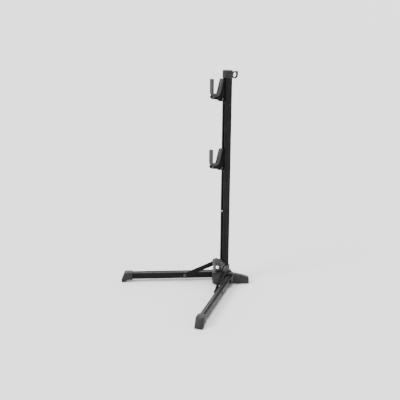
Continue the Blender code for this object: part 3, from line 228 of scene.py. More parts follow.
def rubbed_edges():
    """Wear on a piece's rounded edges: its worn attribute times how bare the place is.

    A place is bare where the mean of two noises is over a bound, which falls as Reach
    grows. It turns bare over a narrow band on both sides of the bound.
    """
    tree = shader_group("rubbed_edges", {"Scale": 900.0, "Reach": 0.5}, ["Mask"])
    given = tree.nodes.new("NodeGroupInput").outputs
    edge = node(tree, "Attribute", attribute_name="worn").outputs["Fac"]
    place = node(tree, "TexCoord").outputs["Object"]
    fine = maths(tree, "MULTIPLY", noise(tree, place, given["Scale"], 4.0), 0.5)
    broad = maths(tree, "MULTIPLY", noise(tree, place, 60.0, 2.0), 0.5)
    patch = maths(tree, "ADD", fine, broad)
    bound = maths(tree, "SUBTRACT", 0.85, maths(tree, "MULTIPLY", given["Reach"], 0.6))
    half_band = 0.12
    over = maths(tree, "SUBTRACT", patch, maths(tree, "SUBTRACT", bound, half_band))
    bare = maths(tree, "MULTIPLY", edge, maths(tree, "DIVIDE", over, 2 * half_band))
    held = node(tree, "Math", {0: bare, 1: 0.0}, operation="MAXIMUM", use_clamp=True)
    return put_out(tree, Mask=held.outputs[0])


def drawn_lines():
    """Fine lines along an extrusion: noise squeezed across it and stretched along it."""
    tree = shader_group("drawn_lines", {"Across": 2600.0, "Along": 14.0}, ["Lines", "Cloud"])
    given = tree.nodes.new("NodeGroupInput").outputs
    lay = node(tree, "Attribute", attribute_name="lay").outputs["Vector"]
    scales = {0: given["Across"], 1: given["Across"], 2: given["Along"]}
    scale = node(tree, "CombineXYZ", scales).outputs[0]
    place = node(tree, "VectorMath", {0: lay, 1: scale}, operation="MULTIPLY").outputs[0]
    return put_out(tree, Lines=noise(tree, place, 1.0, 3.0), Cloud=noise(tree, lay, 38.0, 5.0, 0.62))


def dust_and_top_highlight():
    """Fine dust and a painted top highlight where a piece's own surface faces up, broken up by a noise.
    """
    tree = shader_group("dust_and_top_highlight", {"Amount": 0.3}, ["Mask"])
    given = tree.nodes.new("NodeGroupInput").outputs
    where = node(tree, "TexCoord").outputs
    upward = node(tree, "SeparateXYZ", {"Vector": where["Normal"]}).outputs["Z"]
    patch = spread(tree, noise(tree, where["Object"], 260.0, 6.0, 0.65), 0.35, 0.65, 0.5, 1.0)
    # Painted highlight: the more a face points up, the lighter it is painted, with some dust.
    share = maths(tree, "MULTIPLY", spread(tree, upward, 0.55, 0.95), patch)
    return put_out(tree, Mask=maths(tree, "MULTIPLY", share, given["Amount"]))


rubbed = rubbed_edges()
lines = drawn_lines()
dust_and_highlight = dust_and_top_highlight()


def finish(name):
    """A material with its tree to build on, and its shader."""
    material = bpy.data.materials.new(name)
    material.use_nodes = True
    tree = material.node_tree
    return material, tree, tree.nodes["Principled BSDF"]


def joined(tree, group, **inputs):
    """One use of a shader group in a material."""
    use = tree.nodes.new("ShaderNodeGroup")
    use.node_tree = group
    for key, value in inputs.items():
        use.inputs[key].default_value = value
    return use.outputs


def mixed(tree, share, first, second):
    """Two colours blended by a mask."""
    return node(tree, "Mix", {0: share, 6: first, 7: second}, data_type="RGBA").outputs[2]


def covered(tree, shader, colour, rough, height, depth):
    """Gives the shader its colour and roughness, and a normal from a height in metres."""
    tree.links.new(colour, shader.inputs["Base Color"])
    tree.links.new(rough, shader.inputs["Roughness"])
    bump = node(tree, "Bump", {"Height": height, "Distance": depth, "Strength": 1.0})
    tree.links.new(bump.outputs[0], shader.inputs["Normal"])


def anodised(name, base, lifted, bare, roughness):
    """Black anodised tube: faint drawn lines, cloudy sheen, and grey metal on rubbed corners.

    Dust and a painted top highlight lie on its level faces, but not down in a groove, where the lay's
    second value is low.
    """
    material, tree, shader = finish(name)
    wear = joined(tree, rubbed, Scale=1100.0, Reach=0.15)["Mask"]
    run = joined(tree, lines)
    cloud = spread(tree, run["Cloud"], 0.35, 0.68)
    dark = mixed(tree, cloud, (*base, 1), (*lifted, 1))
    lay = node(tree, "Attribute", attribute_name="lay").outputs["Vector"]
    level = node(tree, "SeparateXYZ", {"Vector": lay}).outputs["Y"]
    out_of_groove = spread(tree, level, 0.0066, 0.0075)
    dust_and_highlight_share = maths(tree, "MULTIPLY", joined(tree, dust_and_highlight, Amount=0.30)["Mask"], out_of_groove)
    skin = mixed(tree, wear, dark, (*bare, 1))
    # Up-facing flats are painted lighter: some dust and a painted top highlight.
    colour = mixed(tree, dust_and_highlight_share, skin, (0.12, 0.12, 0.122, 1))
    streaks = spread(tree, run["Lines"], 0.3, 0.7, roughness - 0.05, roughness + 0.07)
    rough = maths(tree, "ADD", streaks, maths(tree, "MULTIPLY", cloud, 0.05))
    covered(tree, shader, colour, rough, run["Lines"], 0.000012)
    shader.inputs["Specular IOR Level"].default_value = 0.08
    return material


tube_black = anodised(
    "anodised_tube", base=(0.0042, 0.0042, 0.0046), lifted=(0.0075, 0.0075, 0.0081),
    bare=(0.055, 0.055, 0.058), roughness=0.24,
)

SPREAD = math.radians(34.3)             # each leg, from straight ahead
FACE, SIDE, FLAT_HALF = 0.0101, 0.0120, 0.0063
BEVEL = (SIDE - FLAT_HALF) * math.tan(SPREAD)
SLOT_HALF, SLOT_LIP, CHAMBER_HALF, CHAMBER_FLOOR = 0.0025, 0.0083, 0.00434, 0.0053
MOUTH_ROUND, EDGE_ROUND, CHAMBER_ROUND, END_ROUND = 0.0004, 0.0009, 0.0003, 0.0001
right_half = [
    (FACE, SLOT_HALF), (FACE, FLAT_HALF), (FACE - BEVEL, SIDE), (BEVEL - FACE, SIDE), (-FACE, FLAT_HALF),
]
left_half = [(forward, -sideways) for forward, sideways in reversed(right_half)]
chamber = [
    (SLOT_LIP, -SLOT_HALF), (SLOT_LIP, -CHAMBER_HALF), (CHAMBER_FLOOR, -CHAMBER_HALF),
    (CHAMBER_FLOOR, CHAMBER_HALF), (SLOT_LIP, CHAMBER_HALF), (SLOT_LIP, SLOT_HALF),
]
mast_radii = [MOUTH_ROUND] + [EDGE_ROUND] * 8 + [MOUTH_ROUND] + [CHAMBER_ROUND] * 6
low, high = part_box("mast_tube")
outline, worn = filleted(right_half + left_half + chamber, mast_radii)
mast_axes = ((0, -1, 0), (1, 0, 0), (0, 0, 1))
mast = extruded("mast", outline, worn, rim(low.z, high.z, END_ROUND, END_ROUND, 1), mast_axes)


def fitted(piece, material, body, slot, *nodes):
    """Gives a piece its finish, and has it stand for its solids on their body."""
    piece.data.materials.clear()
    piece.data.materials.append(material)
    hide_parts(*nodes)
    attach(piece, body)


fitted(mast, tube_black, "base", "tube_black", "mast_tube")


# Cap: one glass-filled nylon moulding pushed down into the mast, with a hanging eye at
# the back. A small screw through the mast's back wall keeps it in.

def softened(name, node_name, width, angle=34):
    """A copy of a solid with its flat faces merged and its sharp edges rounded by width.

    A point counts as worn where the faces that meet there turn through a wide angle:
    one less the length of the mean of their normals.
    """
    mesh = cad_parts[node_name].data.copy()
    shell = bmesh.new()
    shell.from_mesh(mesh)
    flat = math.radians(0.3)
    bmesh.ops.remove_doubles(shell, verts=shell.verts, dist=2e-6)
    bmesh.ops.dissolve_degenerate(shell, edges=shell.edges, dist=1e-5)
    bmesh.ops.dissolve_limit(shell, angle_limit=flat, verts=shell.verts, edges=shell.edges)
    shell.to_mesh(mesh)
    shell.free()
    piece = bpy.data.objects.new(name, mesh)
    bpy.context.scene.collection.objects.link(piece)
    edge = piece.modifiers.new("rounded", "BEVEL")
    edge.width = width
    edge.segments = 2
    edge.limit_method = "ANGLE"
    edge.angle_limit = math.radians(angle)
    edge.use_clamp_overlap = False
    edge.miter_outer = "MITER_ARC"
    seen = piece.evaluated_get(bpy.context.evaluated_depsgraph_get())
    rounded = bpy.data.meshes.new_from_object(seen)
    piece.modifiers.clear()
    piece.data = rounded
    corner_point = np.empty(len(rounded.loops), int)
    rounded.loops.foreach_get("vertex_index", corner_point)
    corner_count = np.empty(len(rounded.polygons), int)
    rounded.polygons.foreach_get("loop_total", corner_count)
    normal = np.empty(3 * len(rounded.polygons))
    rounded.polygons.foreach_get("normal", normal)
    normal = np.repeat(normal.reshape(-1, 3), corner_count, axis=0)
    total = np.zeros((len(rounded.vertices), 3))
    np.add.at(total, corner_point, normal)
    met = np.maximum(np.bincount(corner_point, minlength=len(total)), 1)
    turn = 1 - np.linalg.norm(total, axis=1) / met
    unworn_turn, wearing_turn = 0.03, 0.04
    worn = np.clip((turn - unworn_turn) / wearing_turn, 0, 1)
    rounded.attributes.new("worn", "FLOAT", "POINT").data.foreach_set("value", worn)
    rounded.shade_smooth()
    rounded.set_sharp_from_angle(angle=math.radians(42))
    return piece


def moulded_grain():
    """A mould's fine sparked texture: cells under a broken noise, with a broad cloudiness."""
    tree = shader_group("moulded_grain", {"Scale": 3400.0}, ["Grain", "Cloud"])
    scale = tree.nodes.new("NodeGroupInput").outputs["Scale"]
    place = node(tree, "TexCoord").outputs["Object"]
    cells = node(tree, "TexVoronoi", {"Vector": place, "Scale": scale}, feature="SMOOTH_F1")
    pits = maths(tree, "MULTIPLY", cells.outputs["Distance"], 0.5)
    sparks = maths(tree, "ADD", pits, noise(tree, place, scale, 4.0))
    return put_out(tree, Grain=sparks, Cloud=noise(tree, place, 75.0, 5.0, 0.6))


grain = moulded_grain()


def moulded(name, base, lifted, bare, roughness, depth=0.00006, scale=3400.0):
    """Moulded plastic: cloudy colour, a fine sparked texture, and edges rubbed lighter and smoother."""
    material, tree, shader = finish(name)
    wear = joined(tree, rubbed, Scale=1300.0, Reach=0.7)["Mask"]
    skin = joined(tree, grain, Scale=scale)
    body = mixed(tree, spread(tree, skin["Cloud"], 0.33, 0.7), (*base, 1), (*lifted, 1))
    # Up-facing faces are painted lighter: some dust and a painted top highlight.
    dust_and_highlight_share = joined(tree, dust_and_highlight, Amount=0.09)["Mask"]
    colour = mixed(tree, dust_and_highlight_share, mixed(tree, wear, body, (*bare, 1)), (0.13, 0.13, 0.132, 1))
    sparked = spread(tree, skin["Grain"], 0.4, 1.1, roughness - 0.07, roughness + 0.08)
    rough = maths(tree, "SUBTRACT", sparked, maths(tree, "MULTIPLY", wear, 0.14))
    covered(tree, shader, colour, rough, skin["Grain"], depth)
    shader.inputs["Specular IOR Level"].default_value = 0.22
    return material


def steel(name, base, bare, roughness):
    """Blackened steel: a mottled oxide skin with a fine grain, worn to grey on its edges."""
    material, tree, shader = finish(name)
    wear = joined(tree, rubbed, Scale=1800.0, Reach=0.9)["Mask"]
    skin = joined(tree, grain, Scale=5200.0)
    mottle = spread(tree, skin["Cloud"], 0.3, 0.7)
    body = mixed(tree, mottle, (*base, 1), (*(1.8 * tone for tone in base), 1))
    rough = spread(tree, skin["Grain"], 0.4, 1.1, roughness - 0.06, roughness + 0.12)
    covered(tree, shader, mixed(tree, wear, body, (*bare, 1)), rough, skin["Grain"], 0.00001)
    shader.inputs["Metallic"].default_value = 0.85
    return material


cap_black = moulded(
    "black_cap", base=(0.0070, 0.0070, 0.0075), lifted=(0.0120, 0.0120, 0.0128),
    bare=(0.060, 0.060, 0.062), roughness=0.46,
)
steel_black = steel("black_steel", base=(0.024, 0.024, 0.025), bare=(0.14, 0.14, 0.143), roughness=0.36)
cap = softened("cap", "mast_cap", width=0.0004)
fitted(cap, cap_black, "base", "moulding_dark", "mast_cap")

CORE = 0.0001                           # radius of the flat that closes a turned piece


def turned(name, profile, place, axis, sides=36):
    """A profile of radius, height, wear and flats, spun about an axis.

    Where flats is 1 the circle becomes a hexagon: its radius is divided by the cosine
    of the angle to the middle of the nearest flat.
    """
    radius, height, wear, flats = np.asarray(profile, float).T
    spin = np.arange(sides) * 2 * np.pi / sides
    hexagon = np.cos(np.pi / 6) / np.cos(np.mod(spin + np.pi / 6, np.pi / 3) - np.pi / 6)
    reach = radius[:, None] * (1 + flats[:, None] * (hexagon - 1))
    run = Vector(axis).normalized()
    side = run.orthogonal().normalized()
    u, v, w = np.array(side), np.array(run.cross(side)), np.array(run)
    ring = reach[..., None] * (np.cos(spin)[:, None] * u + np.sin(spin)[:, None] * v)
    points = np.asarray(place) + ring + height[:, None, None] * w
    worn = np.broadcast_to(wear[:, None], reach.shape)
    return made(name, points, grid_faces(*reach.shape), worn, angle=32)


def screw_profile(shank, length, head, height, socket, depth):
    """A button head with a six-sided socket, its seat at height zero and its shank below.

    The head's edge is a quarter of an ellipse, and the socket's mouth is a turned chamfer.
    """
    edge = 0.55 * height
    dome = [
        (head - edge * (1 - np.cos(turn)), height - edge + edge * np.sin(turn), 1, 0)
        for turn in np.linspace(0, np.pi / 2, 6)
    ]
    below = [
        (CORE, -length, 0, 0), (0.8 * shank, -length, 0, 0), (shank, 0.2 * shank - length, 0, 0),
        (shank, 0, 0, 0),
    ]
    seat = [(head - 0.0001, 0, 0, 0), (head, 0.0001, 1, 0), (head, height - 1.2 * edge, 0, 0)]
    mouth = [
        (1.22 * socket, height, 0, 0.4), (1.12 * socket, height, 1, 1), (socket, height - 0.0002, 1, 1),
    ]
    inside = [(socket, height - depth, 0, 1), (CORE, height - 1.15 * depth, 0, 0)]
    return below + seat + dome + mouth + inside


def screwed_in(name, material, body, solid, place, axis, **sizes):
    """A screw of these sizes with the seat of its head at the place, facing along the axis."""
    fitted(turned(name, screw_profile(**sizes), place, axis), material, body, "steel_black", solid)


screwed_in(
    "cap_screw", steel_black, "base", "mast_cap_screw", place=(0, 0.0104, 0.5583), axis=(0, 1, 0),
    shank=0.0016, length=0.0055, head=0.0032, height=0.0016, socket=0.0013, depth=0.0010,
)


# Collar stop: a small button-head screw in the mast's slot, a third of the way up. The
# lifted collar comes up against it, so that the folded legs can't be pulled off.

steel_bright = steel("plated_steel", base=(0.30, 0.30, 0.31), bare=(0.5, 0.5, 0.51), roughness=0.3)
screwed_in(
    "collar_stop", steel_bright, "base", "collar_stop_screw", place=(0, -0.0104, 0.2125), axis=(0, -1, 0),
    shank=0.0017, length=0.0064, head=0.0023, height=0.0021, socket=0.0010, depth=0.0011,
)


# Hook liners: soft rubber sleeves pulled over the V brackets' ribs, so that a frame's
# stays aren't marked. Square in section with rounded edges, and cut flat at both tips.

liner_rubber = moulded(
    "liner_rubber", base=(0.0245, 0.0242, 0.0262), lifted=(0.0345, 0.0340, 0.0368),
    bare=(0.068, 0.067, 0.072), roughness=0.68, depth=0.00009, scale=2300.0,
)

WALL, HALF_WIDE, LINER_EDGE, LINER_TIP = 0.0073, 0.0048, 0.0013, 0.0011
LEAN, BEND = math.radians(16.2), 0.0045
FRONT_LINE, BACK_LINE, FRONT_TIP, BACK_TIP = 0.0474, 0.0332, 0.0378, 0.0370


def v_line():
    """The V's inner line from its front tip to its back one, above the V's bottom.

    Two straight arms and a short floor join on arcs of one radius. The normal points
    away from the slot, and the last value is how far up the back arm a point lies.
    """
    front = np.array((FRONT_LINE - BEND, BEND))
    turn = (1 - math.sin(LEAN)) / math.cos(LEAN)
    back = np.array((BACK_LINE + BEND * turn, BEND))
    arm = np.linspace(FRONT_TIP, BEND + 0.0008, 22)
    down = np.stack((np.full_like(arm, FRONT_LINE), arm), 1)
    first = np.radians(np.linspace(0, -90, 13))
    last = np.radians(np.linspace(-90, -180 + math.degrees(LEAN), 11))
    first_normal = np.stack((np.cos(first), np.sin(first)), 1)
    last_normal = np.stack((np.cos(last), np.sin(last)), 1)
    round_front = front + BEND * first_normal
    round_back = back + BEND * last_normal
    lift = np.linspace(0, 1, 22)[1:]
    end = round_back[-1]
    top = BACK_TIP - end[1]
    up = end + lift[:, None] * np.array((-top * math.tan(LEAN), top))
    points = np.concatenate((down, round_front, round_back, up))
    down_normal = np.tile((1.0, 0.0), (len(down), 1))
    up_normal = np.tile((-math.cos(LEAN), -math.sin(LEAN)), (len(up), 1))
    normals = np.concatenate((down_normal, first_normal, last_normal, up_normal))
    share = np.concatenate((np.zeros(len(points) - len(up)), lift))
    return points, normals, share


def liner_sleeve(name, bottom):
    """A rounded rectangle carried along the V, drawn in at both tips on a quarter circle.

    The back arm's section slides along the arm in proportion to its depth, so that its
    tip ends level.
    """
    corners = [(0, -HALF_WIDE), (WALL, -HALF_WIDE), (WALL, HALF_WIDE), (0, HALF_WIDE)]
    section, worn = filleted(corners, LINER_EDGE, 5)
    points, normals, share = v_line()
    turn = np.linspace(0, np.pi / 2, 5)
    near, far = LINER_TIP * (1 - np.cos(turn)), LINER_TIP * (1 - np.sin(turn))
    between = np.zeros(len(points) - 2)
    inset = np.concatenate(([1.15 * LINER_TIP], far, between, near, [1.15 * LINER_TIP]))
    setback = np.concatenate(([0], near, between, -far, [0]))
    wear = np.concatenate(([0], np.ones(5), between, np.ones(5), [0]))
    last = len(points) - 1
    station = np.concatenate((np.zeros(6, int), np.arange(1, last), np.full(6, last)))
    along = np.gradient(points, axis=0)
    along = along / np.linalg.norm(along, axis=1, keepdims=True)
    flat = np.stack([drawn_in(section, amount) for amount in inset])
    line = points[station] + along[station] * setback[:, None]
    place = line[:, None] + flat[..., :1] * normals[station][:, None]
    slide = share[station][:, None] * math.tan(LEAN) * flat[..., 0]
    place = place + slide[..., None] * np.array((-math.sin(LEAN), math.cos(LEAN)))
    world = np.stack((flat[..., 1], -place[..., 0], bottom + place[..., 1]), -1)
    wear = np.maximum(wear[:, None], 0.8 * worn[None])
    return made(name, world, grid_faces(*flat.shape[:2]), wear, angle=50)


hooks = {}
for hook in ("upper_hook", "lower_hook"):
    hooks[hook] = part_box(hook + "_liner")[0].z + WALL
    liner = liner_sleeve(hook + "_sleeve", hooks[hook])
    fitted(liner, liner_rubber, "base", "liner_rubber", hook + "_liner")


# Hook brackets: plates of steel, powder-coated black, that run up inside the liners. A
# cross bolt ties the V's corner, and another holds each bracket to its anchor in the slot.

def coated(name, base, lifted, bare, roughness):
    """Powder coat: a fine orange peel, slight clouding, and bare metal on rubbed edges."""
    material, tree, shader = finish(name)
    wear = joined(tree, rubbed, Scale=1500.0, Reach=0.45)["Mask"]
    skin = joined(tree, grain, Scale=1500.0)
    body = mixed(tree, spread(tree, skin["Cloud"], 0.35, 0.68), (*base, 1), (*lifted, 1))
    rough = spread(tree, skin["Cloud"], 0.3, 0.7, roughness - 0.04, roughness + 0.08)
    covered(tree, shader, mixed(tree, wear, body, (*bare, 1)), rough, skin["Grain"], 0.00005)
    shader.inputs["Specular IOR Level"].default_value = 0.06
    return material


bracket_paint = coated(
    "bracket_paint", base=(0.0022, 0.0022, 0.0024), lifted=(0.0046, 0.0046, 0.0049),
    bare=(0.040, 0.040, 0.042), roughness=0.42,
)
steel_dark = steel("dark_steel", base=(0.017, 0.017, 0.018), bare=(0.075, 0.075, 0.077), roughness=0.42)


def nut_profile(bore, across, height, chamfer=0.0004, mouth=0.0002):
    """A plain nut: a hexagon with its corners turned off at both faces, round its bore."""
    return [
        (bore, 0, 0, 0), (0.86 * across, 0, 0, 0), (across, chamfer, 1, 1),
        (across, height - chamfer, 1, 1), (0.86 * across, height, 0, 0),
        (bore + mouth, height, 0, 0), (bore, height - mouth, 0, 0), (bore, 0, 0, 0),
    ]


BRACKET_SIDE = 0.0051                   # middle of a bracket to the seat of a head or nut
hook_bolts = {"front": (0.0496, 0.0086), "rear": (0.0192, 0.0148)}
for hook, bottom in hooks.items():
    bracket = softened(hook + "_plate", hook + "_bracket", width=0.0005)
    fitted(bracket, bracket_paint, "base", "bracket_black", hook + "_bracket")
    anchor = softened(hook + "_slider", hook + "_anchor", width=0.0003)
    fitted(anchor, steel_black, "base", "steel_black", hook + "_anchor")
    for end, (reach, drop) in hook_bolts.items():
        label = hook + "_" + end
        screwed_in(
            label + "_screw", steel_dark, "base", label + "_bolt",
            place=(BRACKET_SIDE, -reach, bottom - drop), axis=(1, 0, 0),
            shank=0.0015, length=0.0126, head=0.0029, height=0.0020, socket=0.0013, depth=0.0012,
        )
        nut_place = (-BRACKET_SIDE, -reach, bottom - drop)
        profile = nut_profile(bore=0.00155, across=0.0029, height=0.0024)
        nut = turned(label + "_hexnut", profile, nut_place, axis=(-1, 0, 0))
        fitted(nut, steel_black, "base", "steel_black", label + "_nut")


# Hub: a deep glass-filled moulding that the mast stands in. It has a cheek and an ear
# for each leg, and two short wings to the back on rubber pads. A screwed lid closes it.

moulding_dark = moulded(
    "dark_moulding", base=(0.0105, 0.0105, 0.0113), lifted=(0.0165, 0.0165, 0.0175),
    bare=(0.080, 0.080, 0.083), roughness=0.5,
)
# The lid is darker than the hub: partly its own tone, partly painted shade for the shadow gap under its
# edge.
lid_tone_and_painted_shade = moulded(
    "lid_tone_painted_shade", base=(0.0060, 0.0060, 0.0064), lifted=(0.0095, 0.0095, 0.0101),
    bare=(0.050, 0.050, 0.052), roughness=0.46,
)
hub = softened("hub", "hub_body", width=0.00028, angle=36)
fitted(hub, moulding_dark, "base", "moulding_dark", "hub_body")
lid = softened("hub_lid", "hub_cover", width=0.0003, angle=36)
fitted(lid, lid_tone_and_painted_shade, "base", "moulding_dark", "hub_cover")
plug = softened("mast_foot_plug", "mast_plug", width=0.0003)
fitted(plug, moulding_dark, "base", "moulding_dark", "mast_plug")

LID_SEAT, FOOT_BOLT_SEAT = 0.0349, 0.0066
lid_screw_places = ((-0.0128, -0.0242), (0.0128, -0.0242), (-0.0078, 0.0150), (0.0078, 0.0150))
for number, place in enumerate(lid_screw_places, 1):
    screwed_in(
        "lid_screw_" + str(number), steel_dark, "base", "hub_cover_screw_" + str(number),
        place=(*place, LID_SEAT), axis=(0, 0, 1),
        shank=0.0016, length=0.0120, head=0.0030, height=0.0013, socket=0.0011, depth=0.0008,
    )
screwed_in(
    "mast_foot_bolt", steel_black, "base", "mast_bolt", place=(0, 0, FOOT_BOLT_SEAT), axis=(0, 0, -1),
    shank=0.0030, length=0.0220, head=0.0050, height=0.0024, socket=0.0022, depth=0.0016,
)

pad_rubber = moulded(
    "pad_rubber", base=(0.013, 0.013, 0.013), lifted=(0.020, 0.020, 0.020),
    bare=(0.042, 0.042, 0.042), roughness=0.78, depth=0.00008, scale=2600.0,
)
PAD_RADIUS, PAD_TOP, PAD_GROOVE, PAD_CORE = 0.0052, 0.0028, 0.0006, 0.0002
wing_pad_profile = [
    (PAD_CORE, PAD_GROOVE, 0, 0), (0.0010, PAD_GROOVE, 0, 0), (0.0014, 0, 1, 0), (0.0020, 0, 1, 0),
    (0.0024, PAD_GROOVE, 0, 0), (0.0029, PAD_GROOVE, 0, 0), (0.0033, 0, 1, 0), (0.0047, 0, 1, 0),
    (0.0051, 0.0003, 1, 0), (PAD_RADIUS, PAD_GROOVE, 0, 0), (PAD_RADIUS, PAD_TOP, 0, 0),
    (PAD_CORE, PAD_TOP, 0, 0),
]
for name in ("left", "right"):
    low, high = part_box(name + "_wing_pad")
    centre = (low + high) / 2
    place = np.array((centre.x, centre.y, 0)) - MAST
    pad = turned(name + "_wing_foot", wing_pad_profile, place, axis=(0, 0, 1), sides=40)
    fitted(pad, pad_rubber, "base", "pad_rubber", name + "_wing_pad")


# Legs: square tubes of black anodised aluminium with a deep groove along the top. Each
# folds up on a pin through the hub, and ends in a moulded foot with a rubber sole.

PIVOT, LEG_LINE, LEG_HEIGHT = 0.0250, 0.0190, 0.01725
LEG_HALF, LEG_TALL, LEG_TAIL, TUBE_END = 0.0087, 0.00865, 0.0090, 0.2740
LEG_ROUND, LEG_INNER_ROUND, ROOT_END_ROUND, FOOT_END_ROUND = 0.0012, 0.0035, 0.0003, 0.0001
GROOVE_NEAR, GROOVE_FAR, GROOVE_DEPTH = 0.0020, 0.0060, 0.0026
GROOVE_LIP_ROUND, GROOVE_FLOOR_ROUND = 0.0005, 0.0004
SOLE_SCREW_ALONG, SOLE_SCREW_SEAT = 0.2650, 0.0062
BRACE_PIN_ALONG, BRACE_PIN_HEIGHT = 0.1100, 0.0185
BRACE_BOLT_SEAT, HINGE_BOLT_SEAT = 0.0280, 0.0311       # outwards of the mast's axis

both_sides = ((-1, "left"), (1, "right"))


def leg_axes(side):
    """Directions of a leg: outwards from the mast, up, and along."""
    along = np.array((side * math.sin(SPREAD), -math.cos(SPREAD), 0))
    outward = np.array((side * math.cos(SPREAD), math.sin(SPREAD), 0))
    return outward, np.array((0.0, 0.0, 1.0)), along


def on_leg(side, along, outward, height):
    """The place at these distances along a leg, outwards of the mast's axis, and up."""
    axes = leg_axes(side)
    return axes[0] * outward + axes[1] * height + axes[2] * along


leg_corners = [
    (-LEG_HALF, -LEG_TALL), (LEG_HALF, -LEG_TALL), (LEG_HALF, LEG_TALL), (GROOVE_FAR, LEG_TALL),
    (GROOVE_FAR, LEG_TALL - GROOVE_DEPTH), (GROOVE_NEAR, LEG_TALL - GROOVE_DEPTH),
    (GROOVE_NEAR, LEG_TALL), (-LEG_HALF, LEG_TALL),
]
groove_radii = [GROOVE_LIP_ROUND, GROOVE_FLOOR_ROUND, GROOVE_FLOOR_ROUND, GROOVE_LIP_ROUND]
leg_radii = [LEG_ROUND] * 3 + groove_radii + [LEG_INNER_ROUND]
leg_outline, leg_worn = filleted(leg_corners, leg_radii, 5)
leg_levels = rim(PIVOT - LEG_TAIL, TUBE_END, ROOT_END_ROUND, FOOT_END_ROUND)
for side, name in both_sides:
    body = name + "_leg"
    axes = leg_axes(side)
    outward = axes[0]
    start = outward * LEG_LINE + np.array((0, 0, LEG_HEIGHT))
    tube = extruded(name + "_leg_bar", leg_outline, leg_worn, leg_levels, axes, start)
    fitted(tube, tube_black, body, "tube_black", name + "_leg_tube", name + "_leg_root_block")
    foot = softened(name + "_leg_foot", name + "_foot", width=0.0004)
    fitted(foot, moulding_dark, body, "moulding_dark", name + "_foot")
    sole = softened(name + "_leg_sole", name + "_foot_pad", width=0.0002)
    fitted(sole, pad_rubber, body, "pad_rubber", name + "_foot_pad")
    screwed_in(
        name + "_sole_screw", steel_black, body, name + "_foot_screw",
        place=on_leg(side, SOLE_SCREW_ALONG, LEG_LINE, SOLE_SCREW_SEAT), axis=(0, 0, -1),
        shank=0.0016, length=0.0036, head=0.0032, height=0.0016, socket=0.0013, depth=0.0010,
    )
    screwed_in(
        name + "_brace_bolt", steel_dark, body, name + "_leg_brace_pin",
        place=on_leg(side, BRACE_PIN_ALONG, BRACE_BOLT_SEAT, BRACE_PIN_HEIGHT), axis=outward,
        shank=0.0024, length=0.0177, head=0.0042, height=0.0014, socket=0.0017, depth=0.0010,
    )
    screwed_in(
        name + "_hinge_bolt", steel_dark, "base", name + "_fold_pin",
        place=on_leg(side, PIVOT, HINGE_BOLT_SEAT, LEG_HEIGHT), axis=outward,
        shank=0.0030, length=0.0264, head=0.0052, height=0.0016, socket=0.0022, depth=0.0011,
    )


# Collar: a grey nylon moulding that slides on the mast. Two lugs carry the braces, and
# an arm in front carries the latch.

collar_grey = moulded(
    "grey_collar", base=(0.0480, 0.0480, 0.0505), lifted=(0.0640, 0.0640, 0.0670),
    bare=(0.14, 0.14, 0.145), roughness=0.48,
)
collar = softened("sliding_collar", "collar", width=0.00035)
fitted(collar, collar_grey, "collar", "collar_grey", "collar")


# Braces: flat bars of black anodised aluminium between the collar's lugs and the legs,
# riveted at their lower ends, so that lifting the collar draws both legs up.

BRACE_LOW = np.array((BRACE_PIN_ALONG, BRACE_PIN_HEIGHT))
BRACE_HIGH = np.array((0.0260, 0.0555))
BRACE_HALF, BRACE_INSIDE, BRACE_OUTSIDE, BRACE_ROUND = 0.0062, 0.0059, 0.0096, 0.0005
RIVET_SEAT, LUG_PIN_SEAT = 0.0056, 0.0097               # outwards of the mast's axis
LUG_PIN, LUG_PIN_LENGTH, LUG_HEAD, LUG_HEAD_HEIGHT, LUG_CHAMFER = 0.0024, 0.0083, 0.0044, 0.0003, 0.0002

run = BRACE_LOW - BRACE_HIGH
brace_length = float(np.linalg.norm(run))
run = run / brace_length
rise = np.array((-run[1], run[0]))
turn = np.radians(np.linspace(90, 270, 21))
upper_end = np.stack((np.cos(turn), np.sin(turn)), 1) * BRACE_HALF
lower_end = -upper_end + np.array((brace_length, 0))
bar_outline = np.concatenate((upper_end, lower_end))
bar_levels = rim(BRACE_INSIDE, BRACE_OUTSIDE, BRACE_ROUND, BRACE_ROUND)
lug_pin_profile = [
    (CORE, -LUG_PIN_LENGTH, 0, 0), (LUG_PIN - LUG_CHAMFER, -LUG_PIN_LENGTH, 0, 0),
    (LUG_PIN, LUG_CHAMFER - LUG_PIN_LENGTH, 0, 0), (LUG_PIN, 0, 0, 0),
    (LUG_HEAD - LUG_CHAMFER, 0, 0, 0), (LUG_HEAD, LUG_CHAMFER / 2, 1, 0),
    (LUG_HEAD - LUG_CHAMFER, LUG_HEAD_HEIGHT, 1, 0), (CORE, LUG_HEAD_HEIGHT, 0, 0),
]
for side, name in both_sides:
    body = name + "_brace"
    outward, up, along = leg_axes(side)
    axes = (along * run[0] + up * run[1], along * rise[0] + up * rise[1], outward)
    start = along * BRACE_HIGH[0] + up * BRACE_HIGH[1]
    bar = extruded(name + "_brace_bar", bar_outline, np.zeros(len(bar_outline)), bar_levels, axes, start)
    fitted(bar, tube_black, body, "tube_black", name + "_brace")
    screwed_in(
        name + "_rivet", steel_dark, body, name + "_brace_rivet",
        place=on_leg(side, BRACE_PIN_ALONG, RIVET_SEAT, BRACE_PIN_HEIGHT), axis=-outward,
        shank=0.0024, length=0.0038, head=0.0042, height=0.0014, socket=0.0012, depth=0.0004,
    )
    lug_place = on_leg(side, BRACE_HIGH[0], LUG_PIN_SEAT, BRACE_HIGH[1])
    pin = turned(name + "_lug_pin", lug_pin_profile, lug_place, outward)
    fitted(pin, steel_dark, "collar", "steel_black", name + "_collar_pin")


# Latch: a moulded strip on a cross pin in the collar's arm. A leaf of spring steel
# behind it snaps its toe against the strike on the hub's lid.

AXLE, AXLE_LENGTH, AXLE_CHAMFER = 0.0015, 0.0080, 0.0003
AXLE_REACH, AXLE_HEIGHT = 0.0334, 0.0715
LEAF_HALF_WIDE, LEAF_ROUND, LEAF_STEP = 0.0016, 0.0001, 0.0006

